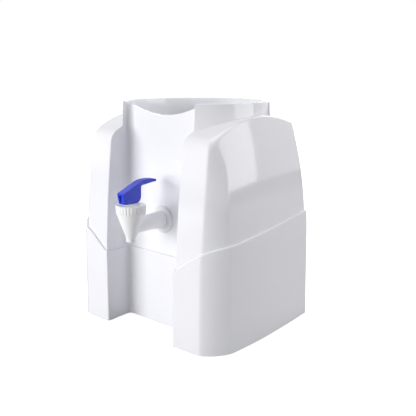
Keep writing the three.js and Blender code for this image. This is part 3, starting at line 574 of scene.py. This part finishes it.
def arch_height(y, lowered):
    return ARCH_CREST - ARCH_RADIUS + np.sqrt((ARCH_RADIUS - lowered) ** 2 - (y - COLLAR_Y) ** 2)


def closed_over(name, wall_grow, top_at, bottom, heights, edge_round):
    """The housing form from `bottom` up to the surface top_at(x, y), with a rounded edge."""
    stack = np.array([ring(z, wall_grow(z)) for z in heights])
    picks = np.arange(stack.shape[1])
    over = stack[:, :, 2] - top_at(stack[:, :, 0], stack[:, :, 1])
    first = (over > 0).argmax(0)
    share = -over[first - 1, picks] / (over[first, picks] - over[first - 1, picks])
    top = heights[first - 1] + share * (heights[1] - heights[0])

    def wall(z):
        plan = [[np.interp(z[i], heights, stack[:, i, k]) for i in picks] for k in (0, 1)]
        return np.column_stack([*plan, z])

    corner = wall(top)
    edge = edge_round(corner[:, 1])
    inwards = np.array([0, COLLAR_Y]) - corner[:, :2]
    inwards /= np.linalg.norm(inwards, axis=1)[:, None]

    def on_top(distance):
        plan = corner[:, :2] + inwards * distance[:, None]
        return np.column_stack([plan, top_at(plan[:, 0], plan[:, 1])])

    low = max(bottom, heights[0])
    rings = [ring(bottom, wall_grow(bottom))] if bottom < low else []
    rings += [wall(low + (top - edge - low) * s) for s in np.linspace(0, 1, WALL_RINGS)[:-1]]
    rings += quadratic(wall(top - edge), corner, on_top(edge), np.linspace(0, 1, EDGE_RINGS))
    rings += [on_top(edge + distance) for distance in TOP_RINGS]
    return skinned(name, rings)


def shouldered(name, grow, lowered, bottom, edge_round):
    """The housing closed over by the arch. The edge is softest in front."""
    def top_at(x, y):
        return arch_height(y, lowered)

    def edge_at(y):
        near_front = np.clip((-y - SOFT_EDGE_FROM) / (SOFT_EDGE_FULL - SOFT_EDGE_FROM), 0, 1)
        return edge_round * (1 + FRONT_EDGE_EXTRA * near_front ** 2 * (3 - 2 * near_front))

    heights = np.linspace(FLANK_START, 300, 90)
    return closed_over(name, lambda z: grow, top_at, bottom, heights, edge_at)


print("arch over the crease:", round(float(arch_height(-CREASE_Y, 0)), 1), "mm high")

# %% The joint line between skirt and cover
SWOOP_FRONT, SWOOP_RISE, SWOOP_REACH, SIDE_RISE = 103.0, 40.0, 75.0, 14.5
PAST_X, PAST_Y = 160, 150  # beyond the housing on every side


def swoop_at(x, y):
    share = np.clip((np.abs(x) - RECESS_HALF) / SWOOP_REACH, 0, 1)
    outward = 1 - (1 - share) ** 1.6
    t = np.clip((y + CREASE_Y / 2) / CREASE_Y, 0, 1)
    behind = t * t * (3 - 2 * t)
    along = np.clip((y + CREASE_Y) / (2 * CREASE_Y), 0, 1)
    return SWOOP_FRONT + SWOOP_RISE * (outward + (1 - outward) * behind) + SIDE_RISE * along


def below_swoop(name, lift):
    """Everything under the joint line, moved up by `lift`."""
    xs = np.linspace(PAST_X, -PAST_X, 161)
    rings = []
    for y in np.linspace(PAST_Y, -PAST_Y, 101):
        top = np.stack([xs, np.full_like(xs, y), swoop_at(xs, y) + lift], 1)
        rings.append(np.concatenate([[(-PAST_X, y, -30), (PAST_X, y, -30)], top]))
    return skinned(name, rings)


print("joint at the rear middle:", round(float(swoop_at(0, CREASE_Y)), 1), "mm high")

# %% [markdown]
# ## The recess and the tap's place
#
# A cup stands in the recess, under the tap. Its panel leans back by two degrees, as a moulding must
# to leave its mould. The recess is a cutter, used at several sizes: as it is for the front, grown
# by the wall's thickness for the back of the panel. The tap stands square to the leaning panel, so
# each of its round pieces is made upright at the origin and then moved by one matrix.

# %% Cut the recess
RECESS_ROUND = 9.0
PANEL_AT_RIM, PANEL_LEAN = 62.5, math.radians(2)
IN_FRONT, UNDER, ABOVE = -200, -20.0, 340.0  # where cutters end, clear of the housing


def panel_depth(z):
    return PANEL_AT_RIM + (RIM - z) * math.tan(PANEL_LEAN)


def face_at(x, z, grow):
    """How far in front the near-flat face stands at one point."""
    points = front_quarter(z, grow)
    face, middle = points[-1 - len(FACE_STEPS)], points[-2]
    return middle.y + (x - middle.x) * (face.y - middle.y) / (face.x - middle.x)


def recess(name, grow, lip=0.0, wall_grow=lambda z: 0.0):
    """The recess cutter. A lip rounds the edge where its side walls meet the front face."""
    half, corner = RECESS_HALF + grow, RECESS_ROUND + grow
    rings = []
    for z in [UNDER, *np.linspace(FLANK_START, 330, 40)] if lip else [UNDER, ABOVE]:
        back = grow - panel_depth(z)
        plan = [(-half - lip, IN_FRONT), (half + lip, IN_FRONT)]
        if lip:
            face = -face_at(half + lip, z, wall_grow(z))
            turn_in = arc_points((half + lip, face + lip), lip, -93, -180, 9)
            plan += turn_in
        plan += arc_points((half - corner, back - corner), corner, 0, 90, 13)
        plan += arc_points((corner - half, back - corner), corner, 90, 180, 13)
        if lip:
            plan += [(-x, y) for x, y in reversed(turn_in)]
        rings.append(np.array([(x, y, z) for x, y in plan]))
    return skinned(name, rings)


print("panel at the rim and at the foot:", PANEL_AT_RIM, round(panel_depth(0), 1), "mm deep")

# %% Move a piece to the tap's place
TAP_HEIGHT = 151.7
BARREL_OUT = 59.0
QUARTER_TURN = math.radians(90)
UNSHIFT = Matrix.Translation((0, -SHIFT * MM, 0))


def tap_matrix(out=0.0):
    """From the tap's own frame to the CAD's: the shank's hole, or `out` in front of the panel."""
    hole = Matrix.Translation((0, -panel_depth(TAP_HEIGHT), TAP_HEIGHT))
    return hole @ Matrix.Rotation(-PANEL_LEAN, 4, "X") @ Matrix.Translation((0, -out, 0))


def in_tap(thing, out=0.0):
    move = tap_matrix(out)
    move.translation = (move.translation + Vector((0, SHIFT, 0))) * MM
    thing.data.transform(move @ UNSHIFT)
    return thing


def spun(name, profile, segments=128):
    """A profile of (radius, height) pairs turned about the upright axis through the origin."""
    return turned(name, profile, segments, (0, 0))


def laid_out(thing):
    """Lays an upright piece down, so that its height runs forwards from the panel."""
    thing.data.transform(UNSHIFT.inverted() @ Matrix.Rotation(QUARTER_TURN, 4, "X") @ UNSHIFT)
    return thing


print("tap hole:", [round(x, 1) for x in tap_matrix().translation], "mm")

# %% [markdown]
# ## Upper cover
#
# The cover is one thin moulding: a shoulder arched on each side, a round collar that takes the
# bottle's shoulder, and the panel that carries the tap. It is built as its mould would make it. The
# outside form is one solid and the core another, moved in by the wall's thickness, and the cover is
# what is left between them. The core also has the collar's throat in it and, inside a ledge that
# the tank hangs from, the passage for the tank.

# %% Outside form with the collar
COLLAR_RADIUS, COLLAR_FOOT, COLLAR_SPREAD = 102.0, RIM - 42, 2.5
RIM_ROUND = 1.2
COVER_BOTTOM, COVER_EDGE = 90, 3.0

rim = arc_points((COLLAR_RADIUS - RIM_ROUND, RIM - RIM_ROUND), RIM_ROUND, 0, 90, 7)
cover = shouldered("upper_cover_moulding", 0, 0, COVER_BOTTOM, COVER_EDGE)
combine(cover, turned("collar", [(COLLAR_RADIUS + COLLAR_SPREAD, COLLAR_FOOT)] + rim), "UNION")
print("collar:", 2 * COLLAR_RADIUS, "mm across")

# %% Core with the throat, the ledge and the passage
COVER_WALL = 3.0
THROAT_RADIUS, PASSAGE_RADIUS = 99.0, 93.0
LEDGE_TOP, LEDGE_FOOT = RIM - 48, RIM - 51
CORE_BOTTOM, CORE_EDGE = 80, 1.5
PANEL_RIB = 2.3
OVER_RIM = RIM + 10

cover_core = shouldered("cavity", -COVER_WALL, COVER_WALL, CORE_BOTTOM, CORE_EDGE)
collar_well = turned("well", [(COLLAR_RADIUS, LEDGE_FOOT), (COLLAR_RADIUS, OVER_RIM)])
combine(cover_core, collar_well, "DIFFERENCE")
throat_lip = arc_points((THROAT_RADIUS + RIM_ROUND, RIM - RIM_ROUND), RIM_ROUND, 180, 90, 7)
throat_line = [(THROAT_RADIUS, LEDGE_TOP)] + throat_lip + [(THROAT_RADIUS + RIM_ROUND, RIM + 5)]
combine(cover_core, turned("throat", throat_line), "UNION")
combine(cover_core, recess("panel_back", COVER_WALL), "DIFFERENCE")
passage = turned("tank_passage", [(PASSAGE_RADIUS, LEDGE_FOOT - 10), (PASSAGE_RADIUS, RIM - 10)])
combine(passage, recess("passage_front", COVER_WALL + PANEL_RIB), "DIFFERENCE")
combine(cover_core, passage, "UNION")
print("ledge:", round(LEDGE_TOP, 1), "mm high,", THROAT_RADIUS - PASSAGE_RADIUS, "mm wide")

# %% Hollow the cover and cut its openings
RECESS_LIP = 2.0
DIP_DEPTH, DIP_RADIUS, DIP_HALF = 16.8, 150.0, 61.0
DIP_FRONT, DIP_BACK = -95, -20
POST_DROP, POST_REACH = 6.0, 68
SHANK_HOLE = 11.3
JOINT_OVERLAP = 8.0

combine(cover, recess("front_recess", 0, RECESS_LIP), "DIFFERENCE")
combine(cover, cover_core, "DIFFERENCE")

spread = math.degrees(math.asin(DIP_HALF / DIP_RADIUS))
dip = [(DIP_HALF, OVER_RIM), (-DIP_HALF, OVER_RIM)]
dip += arc_points((0, RIM - DIP_DEPTH + DIP_RADIUS), DIP_RADIUS, -90 - spread, -90 + spread, 61)
combine(cover, prism("dip", dip, DIP_FRONT, DIP_BACK, axis=1), "DIFFERENCE")

post_front = COLLAR_Y - math.sqrt(COLLAR_RADIUS ** 2 - RECESS_HALF ** 2) - 1
post_back = COVER_WALL - PANEL_AT_RIM
slope = [(post_front, RIM), (post_back, RIM - POST_DROP),
         (post_back, OVER_RIM), (post_front, OVER_RIM)]
combine(cover, prism("post_tops", slope, -POST_REACH, POST_REACH, axis=0), "DIFFERENCE")

shank_hole = spun("shank_hole", [(SHANK_HOLE, -20), (SHANK_HOLE, 60)], 64)
combine(cover, in_tap(laid_out(shank_hole)), "DIFFERENCE")
combine(cover, below_swoop("joint_line", -JOINT_OVERLAP), "DIFFERENCE")
shade(cover, 30)
dress(cover, "upper_cover", "housing", abs_white)

# %% [markdown]
# ## Skirt
#
# The skirt carries the cover. It stands three millimetres proud of it, so that the step hides the
# joint, and flares a little more towards the floor. In its recess the joint runs level. Inside,
# four hollow towers take the screws from below, and crossed ribs tie them to the walls.

# %% Outside form, which ends in the joint line
SKIRT_STEP, SKIRT_FLARE = 3.0, 2.0
SKIRT_FOOT, SKIRT_EDGE = 1.0, 2.6


def flare(z):
    return SKIRT_STEP + SKIRT_FLARE * max(0.0, SWOOP_FRONT - z) / SWOOP_FRONT


skirt = closed_over("skirt_moulding", flare, swoop_at, SKIRT_FOOT, np.linspace(0, 180, 91),
                    lambda y: np.full_like(y, SKIRT_EDGE))
level_part = (-RECESS_HALF - 2, RECESS_HALF + 2), (-108, -45)  # the recess, seen from above
combine(skirt, box("waves", *level_part, (SWOOP_FRONT, SWOOP_FRONT + 30)), "DIFFERENCE")
combine(skirt, box("level_top", *level_part, (SWOOP_FRONT - 20, SWOOP_FRONT)), "UNION")
combine(skirt, recess("skirt_recess", -SKIRT_STEP, RECESS_LIP, flare), "DIFFERENCE")
print("skirt stands proud by", round(flare(0), 1), "mm at the floor")

# %% Core, less the towers and ribs
SKIRT_WALL = 3.05
TOWERS = ((92, -84), (98, 82), (-98, 82), (-92, -84))
TOWER_RADIUS, WELL_RADIUS, SCREW_HOLE = 7.5, 4.8, 2.2
TOWER_DROP, TOWER_ROOF = 8.3, 4
RIB_HALF, RIB_DROP = 1.5, 7.7


def crossed_ribs(x, y, bottom, top):
    """Two ribs from a screw tower, to the side wall and to the front or rear wall."""
    to_side, to_end = sorted((x, math.copysign(150, x))), sorted((y, math.copysign(140, y)))
    first = box("rib", to_side, (y - RIB_HALF, y + RIB_HALF), (bottom, top))
    second = box("rib", (x - RIB_HALF, x + RIB_HALF), to_end, (bottom, top))
    return combine(first, second, "UNION")


def inner_wall(z):
    return flare(z) - SKIRT_WALL


levels = [-5.0, *np.linspace(0, 180, 24)[1:]]
skirt_core = skinned("core", [ring(z, inner_wall(z)) for z in levels])
core_front = recess("core_front", SKIRT_WALL - SKIRT_STEP, RECESS_LIP, inner_wall)
combine(skirt_core, core_front, "DIFFERENCE")
for x, y in TOWERS:
    top = float(swoop_at(x, y)) - TOWER_DROP
    tower = turned("tower", [(TOWER_RADIUS, 3), (TOWER_RADIUS, top)], 48, (x, y))
    combine(tower, crossed_ribs(x, y, 3, top - RIB_DROP), "UNION")
    well = turned("well", [(WELL_RADIUS, 2), (WELL_RADIUS, top - TOWER_ROOF)], 48, (x, y))
    combine(tower, well, "DIFFERENCE")
    hole = turned("screw_hole", [(SCREW_HOLE, top - 5), (SCREW_HOLE, top + 1)], 32, (x, y))
    combine(tower, hole, "DIFFERENCE")
    combine(skirt_core, tower, "DIFFERENCE")
    print("tower at", (x, y), "is", round(top, 1), "mm high")
combine(skirt, skirt_core, "DIFFERENCE")
shade(skirt, 30)
dress(skirt, "skirt", "housing", abs_white)

# %% [markdown]
# ## Tap body
#
# The tap is a handful of acetal mouldings and one blue lever. The round pieces are turned profiles,
# which is how their moulds are cut, with many more steps than the solids have. The body is a cone
# on a horizontal shank: the chamber in the cone holds the valve, and a waterway comes in through
# the shank and leaves through the spout.


# %% Soft corners in a profile
def rounded(inner, corner, outer, steps=5):
    """Points of a soft edge from one profile point round a corner to another."""
    shares = np.linspace(0, 1, steps)
    return [tuple(p) for p in quadratic(Vector(inner), Vector(corner), Vector(outer), shares)]


# %% Cone and shank
CONE_TOP, CONE_FULL, CONE_FOOT, SPOUT_FOOT = 18.2, 18.0, -16.2, -21.2
CONE_RADIUS, SPOUT_RADIUS, SHANK_RADIUS = 19.2, 6.2, 11
SHANK_BACK = 22


def cone_radius(z):
    climbed = max(0.0, z - CONE_FOOT)
    return SPOUT_RADIUS + climbed * (CONE_RADIUS - SPOUT_RADIUS) / (CONE_FULL - CONE_FOOT)


spout = rounded((5.4, SPOUT_FOOT), (SPOUT_RADIUS, SPOUT_FOOT), (SPOUT_RADIUS, SPOUT_FOOT + 0.8))
spread = rounded((SPOUT_RADIUS, -18.0), (SPOUT_RADIUS, CONE_FOOT), (cone_radius(-13.5), -13.5), 7)
brim = rounded((CONE_RADIUS - 0.1, 17.7), (CONE_RADIUS, CONE_TOP), (CONE_RADIUS - 0.5, CONE_TOP), 4)
barrel = spun("tap_barrel", spout + spread + brim)

shank_ring = rounded((12.1, 5.5), (12.6, 5.5), (12.6, 6.0), 4)
shank_ring += rounded((12.6, 7.6), (12.6, 8.6), (11.6, 9.6), 5)
shank_line = [(SHANK_RADIUS, -SHANK_BACK), (SHANK_RADIUS, 5.5)] + shank_ring
shank_line += [(SHANK_RADIUS, 10.8), (SHANK_RADIUS, BARREL_OUT)]
shank = laid_out(spun("shank", shank_line, 96))
shank.data.transform(Matrix.Translation((0, BARREL_OUT * MM, 0)))
combine(barrel, shank, "UNION")
print("cone:", 2 * CONE_RADIUS, "mm across, shank:", 2 * SHANK_RADIUS)

# %% Valve chamber, waterway and spout bore
BARREL_WALL = 2.4
WATERWAY_RADIUS, WATERWAY_LENGTH = 6.5, BARREL_OUT + 23
SEAT_RADIUS, BORE_RADIUS = 5.6, 4.2

chamber_line = [(cone_radius(-9) - BARREL_WALL, -9), (cone_radius(10) - BARREL_WALL, 10),
                (13, 10.001), (13, 20)]
combine(barrel, spun("chamber", chamber_line), "DIFFERENCE")
waterway = laid_out(spun("waterway", [(WATERWAY_RADIUS, z) for z in (0, WATERWAY_LENGTH)], 64))
waterway.data.transform(Matrix.Translation((0, WATERWAY_LENGTH * MM, 0)))
combine(barrel, waterway, "DIFFERENCE")
combine(barrel, spun("seat_ring", [(SEAT_RADIUS, -10), (SEAT_RADIUS, -7)], 64), "UNION")
combine(barrel, spun("spout_bore", [(BORE_RADIUS, -22.5), (BORE_RADIUS, -6)], 64), "DIFFERENCE")
shade(in_tap(barrel, BARREL_OUT), 35)
dress(barrel, "tap_body", "housing", acetal_white)

# %% [markdown]
# ## Bonnet and spring
#
# The bonnet closes the chamber, and its flutes give fingers a grip when the tap is assembled. The
# flutes are one cosine that pulls in every ring of the skin, and they end just under the crown. The
# spring sits inside and presses the plug on its seat. Its foot rises with the stem, so the spring
# is squashed along the tap's axis, with its upper end held.

# %% Bonnet: the ribbed ring that closes the chamber
FLUTES, FLUTE_DEPTH, CROWN_FROM = 28, 0.7, 27.9
SPRING_ROOM, STEM_HOLE = 10, 3.3

around = np.linspace(0, 2 * math.pi, FLUTES * 12, endpoint=False)
groove = (0.5 - 0.5 * np.cos(FLUTES * around)) ** 1.5


def fluted(radius, z):
    reach = radius - FLUTE_DEPTH * (z < CROWN_FROM) * groove
    return np.stack([reach * np.cos(around), reach * np.sin(around), np.full(len(around), z)], 1)


crown = rounded((19.65, 27.2), (19.65, 28.3), (18.6, 28.3), 6)
side_line = [(19.1, 18.25), (19.4, 22.5)]
bonnet = skinned("tap_bonnet_ring", [fluted(*level) for level in side_line + crown])
room = spun("spring_room", [(SPRING_ROOM, 0), (SPRING_ROOM, 23.3)], 96)
combine(bonnet, room, "DIFFERENCE")
spigot = spun("spigot", [(12.7, 10.3), (12.7, 19.3)], 96)
bore = spun("spigot_bore", [(SPRING_ROOM, 9), (SPRING_ROOM, 23)], 96)
combine(bonnet, combine(spigot, bore, "DIFFERENCE"), "UNION")
combine(bonnet, spun("stem_hole", [(STEM_HOLE, 0), (STEM_HOLE, 30)], 48), "DIFFERENCE")
shade(in_tap(bonnet, BARREL_OUT), 35)
dress(bonnet, "tap_bonnet", "housing", acetal_white)

# %% Wind the return spring
WIRE, COIL_RADIUS, TURNS = 1.1, 7.6, 5
SPRING_FOOT, SPRING_TOP = 5.4, 21.9
END_TURNS, END_RISE = 0.75, 0.8  # the closed turn at each end

turn = np.linspace(0, TURNS, 241)
climb = np.interp(turn, (0, END_TURNS, TURNS - END_TURNS, TURNS),
                  (SPRING_FOOT, SPRING_FOOT + END_RISE, SPRING_TOP - END_RISE, SPRING_TOP))
section = np.linspace(0, 2 * math.pi, 12, endpoint=False)


def wire_at(angle, z):
    reach = COIL_RADIUS + WIRE / 2 * np.cos(section)
    height = z + WIRE / 2 * np.sin(section)
    return np.stack([reach * math.cos(angle), reach * math.sin(angle), height], 1)


coil = skinned("return_spring", [wire_at(2 * math.pi * t, z) for t, z in zip(turn, climb)])
shade(in_tap(coil, BARREL_OUT), 60)
dress(coil, "tap_spring", "housing", spring_wire)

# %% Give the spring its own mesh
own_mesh(coil)

# %% [markdown]
# ## Escutcheon and slip ring
#
# The escutcheon is a shallow domed disc that hides the hole in the panel and holds the gasket. The
# slip ring is a thin washer between bonnet and lever, on which the lever turns. Both are turned,
# then bored.

# %% Escutcheon
dome = [(18.8, 0.3)] + rounded((18.8, 1.4), (18.2, 4.4), (13.2, 5.1), 9) + [(11.6, 5.2)]
escutcheon = spun("escutcheon_disc", dome)
combine(escutcheon, spun("gasket_room", [(15.8, -1), (15.8, 2.2)]), "DIFFERENCE")
combine(escutcheon, spun("shank_room", [(SHANK_HOLE, -1), (SHANK_HOLE, 7)], 96), "DIFFERENCE")
shade(in_tap(laid_out(escutcheon)), 35)
dress(escutcheon, "tap_escutcheon", "housing", acetal_white)

# %% Slip ring
washer = rounded((11.6, 28.6), (12, 28.6), (12, 29.0), 3)
washer += rounded((12, 29.6), (12, 30.1), (11.5, 30.1), 4)
slip = spun("slip_washer", washer)
combine(slip, spun("washer_hole", [(STEM_HOLE, 28), (STEM_HOLE, 31)], 48), "DIFFERENCE")
shade(in_tap(slip, BARREL_OUT), 35)
dress(slip, "slip_ring", "swivel", acetal_white)

# %% [markdown]
# ## Lever
#
# The lever is one moulding in saturated blue: a cam block on a cross pin, whose top runs on into a
# thin paddle. Its side view is one closed outline, so it is drawn as that and given its width, with
# the edge rounded by shrinking the outline towards both faces. The plan view then trims it to its
# taper. The paddle's top is slightly crowned, so that a finger finds its middle.

# %% Side view of the lever, as (towards the panel, up) from the foot of its cam
HALF_WIDTH, EDGE, CROWN = 6.0, 0.8, 1.2
CROWN_BACK, CROWN_TIP = -2, 41.6


def curve(a, b, c, steps):
    return quadratic(Vector(a), Vector(b), Vector(c), np.linspace(0, 1, steps))


def arc(centre, radius, start, end, steps):
    return [Vector(point) for point in arc_points(centre, radius, start, end, steps)]


lower_line = [Vector((-15.3, 0))] + arc((5, 8), 8, -90, 0, 17)
lower_line += curve((13, 19.5), (13, 22), (16, 22.25), 8) + arc((41.8, 26.4), 1.2, -90, 60, 10)
top_line = curve((41.5, 27.65), (34, 30.1), (26, 30.1), 13)
top_line += curve((26, 30.1), (17.6, 30.1), (9.6, 27), 13)[1:]
nose_line = curve((-17.6, 14.46), (-18.6, 14), (-18.4, 13.2), 4)
side_view = lower_line + top_line + nose_line
print("lever outline:", len(side_view), "points")


# %% Slice it across its width
def shrunk(outline, inset):
    """The closed outline moved inwards by `inset`, corner by corner."""
    moved = []
    for i, corner in enumerate(outline):
        before = (corner - outline[i - 1]).normalized()
        after = (outline[(i + 1) % len(outline)] - corner).normalized()
        normals = [Vector((-d.y, d.x)) for d in (before, after)]
        moved.append(mitre(corner, *normals, inset))
    return moved


def slice_at(x, inset):
    """One slice of the lever. The paddle's top drops towards both edges, but not at its ends."""
    outline = shrunk(side_view, inset)
    for point in outline[len(lower_line):len(lower_line) + len(top_line)]:
        fade = min(1.0, (point.x - CROWN_BACK) / 18, (CROWN_TIP - point.x) / 9)
        point.y -= CROWN * (x / HALF_WIDTH) ** 2 * max(0.0, fade)
    return np.array([(x, p.x, p.y) for p in outline])


flat_steps = [(x, 0.0) for x in (1.5, 3.0, 4.2)]
edge_steps = [(HALF_WIDTH - EDGE + EDGE * math.cos(t), EDGE * (1 - math.sin(t)))
              for t in np.linspace(math.pi / 2, 0, 6)]
half = flat_steps + edge_steps
slices = [slice_at(-x, inset) for x, inset in reversed(half)] + [slice_at(0.0, 0.0)]
lever = skinned("lever_moulding", slices + [slice_at(x, inset) for x, inset in half])
print("lever blank:", 2 * HALF_WIDTH, "mm wide, in", 2 * len(half) + 1, "slices")

# %% Trim it to its plan and open it for stem and pin
LEVER_FOOT, FORK_HALF = 30.4, 3.3
PIN_HEIGHT, PIN_SOCKET = 6, 1.8

half_plan = [Vector((12, -21)), Vector((HALF_WIDTH, 13))]
half_plan += curve((4.5, 40), (4.5, 43.6), (0, 43.6), 13)
plan = half_plan + [Vector((-p.x, p.y)) for p in reversed(half_plan[:-1])]
combine(lever, prism("plan_bar", plan, -5, 50), "INTERSECT")
combine(lever, box("fork", (-FORK_HALF, FORK_HALF), (-9, 7.5), (-1, 12.5)), "DIFFERENCE")
combine(lever, box("nose_window", (-3, 3), (-20, -14.7), (1.5, 11.5)), "DIFFERENCE")
socket = spun("pin_socket", [(PIN_SOCKET, -5.3), (PIN_SOCKET, 5.3)], 32)
across = Matrix.Translation((0, 0, PIN_HEIGHT * MM)) @ Matrix.Rotation(QUARTER_TURN, 4, "Y")
socket.data.transform(UNSHIFT.inverted() @ across @ UNSHIFT)
combine(lever, socket, "DIFFERENCE")
lever.data.transform(Matrix.Translation((0, 0, LEVER_FOOT * MM)))
shade(in_tap(lever, BARREL_OUT), 35)
dress(lever, "tap_lever", "lever", blue_abs)

# %% [markdown]
# ## Everything else
#
# The tank, the bottle seat, the seals, the nut, the stem, the pin, the screws and the feet are
# plain shapes, and the CAD nodes already have them. They only need a material and smooth shading:
# their facets are welded, and edges sharper than 32 degrees are split so that they stay crisp.

# %% Dress the nodes that keep their CAD shape
WELD_REACH, SHARP_ANGLE = 0.01 * MM, math.radians(32)

looks = {
    "reservoir": tank_polypropylene, "bottle_seat": tank_polypropylene,
    "bottle_probe": acetal_white, "tap_nut": acetal_white, "tap_stem": acetal_white,
    "seat_seal": silicone, "probe_seal": silicone, "panel_gasket": silicone,
    "tank_spacer": silicone, "nut_gasket": silicone, "stem_seal": silicone,
    "valve_plug": silicone, "lever_pin": zinc_steel,
}
for corner in ("right_front", "right_rear", "left_rear", "left_front"):
    looks[f"screw_{corner}"] = zinc_steel
    looks[f"foot_{corner}"] = foot_rubber
for name, look in looks.items():
    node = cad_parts[name]
    node.data.materials.clear()
    node.data.materials.append(look)
    weld = node.modifiers.new("weld", "WELD")
    weld.merge_threshold = WELD_REACH
    split = node.modifiers.new("smooth by angle", "EDGE_SPLIT")
    split.split_angle = SHARP_ANGLE
    node.data.shade_smooth()
print("dressed", len(looks), "CAD nodes")

# %% Finish
scene.view_settings.view_transform = "Standard"
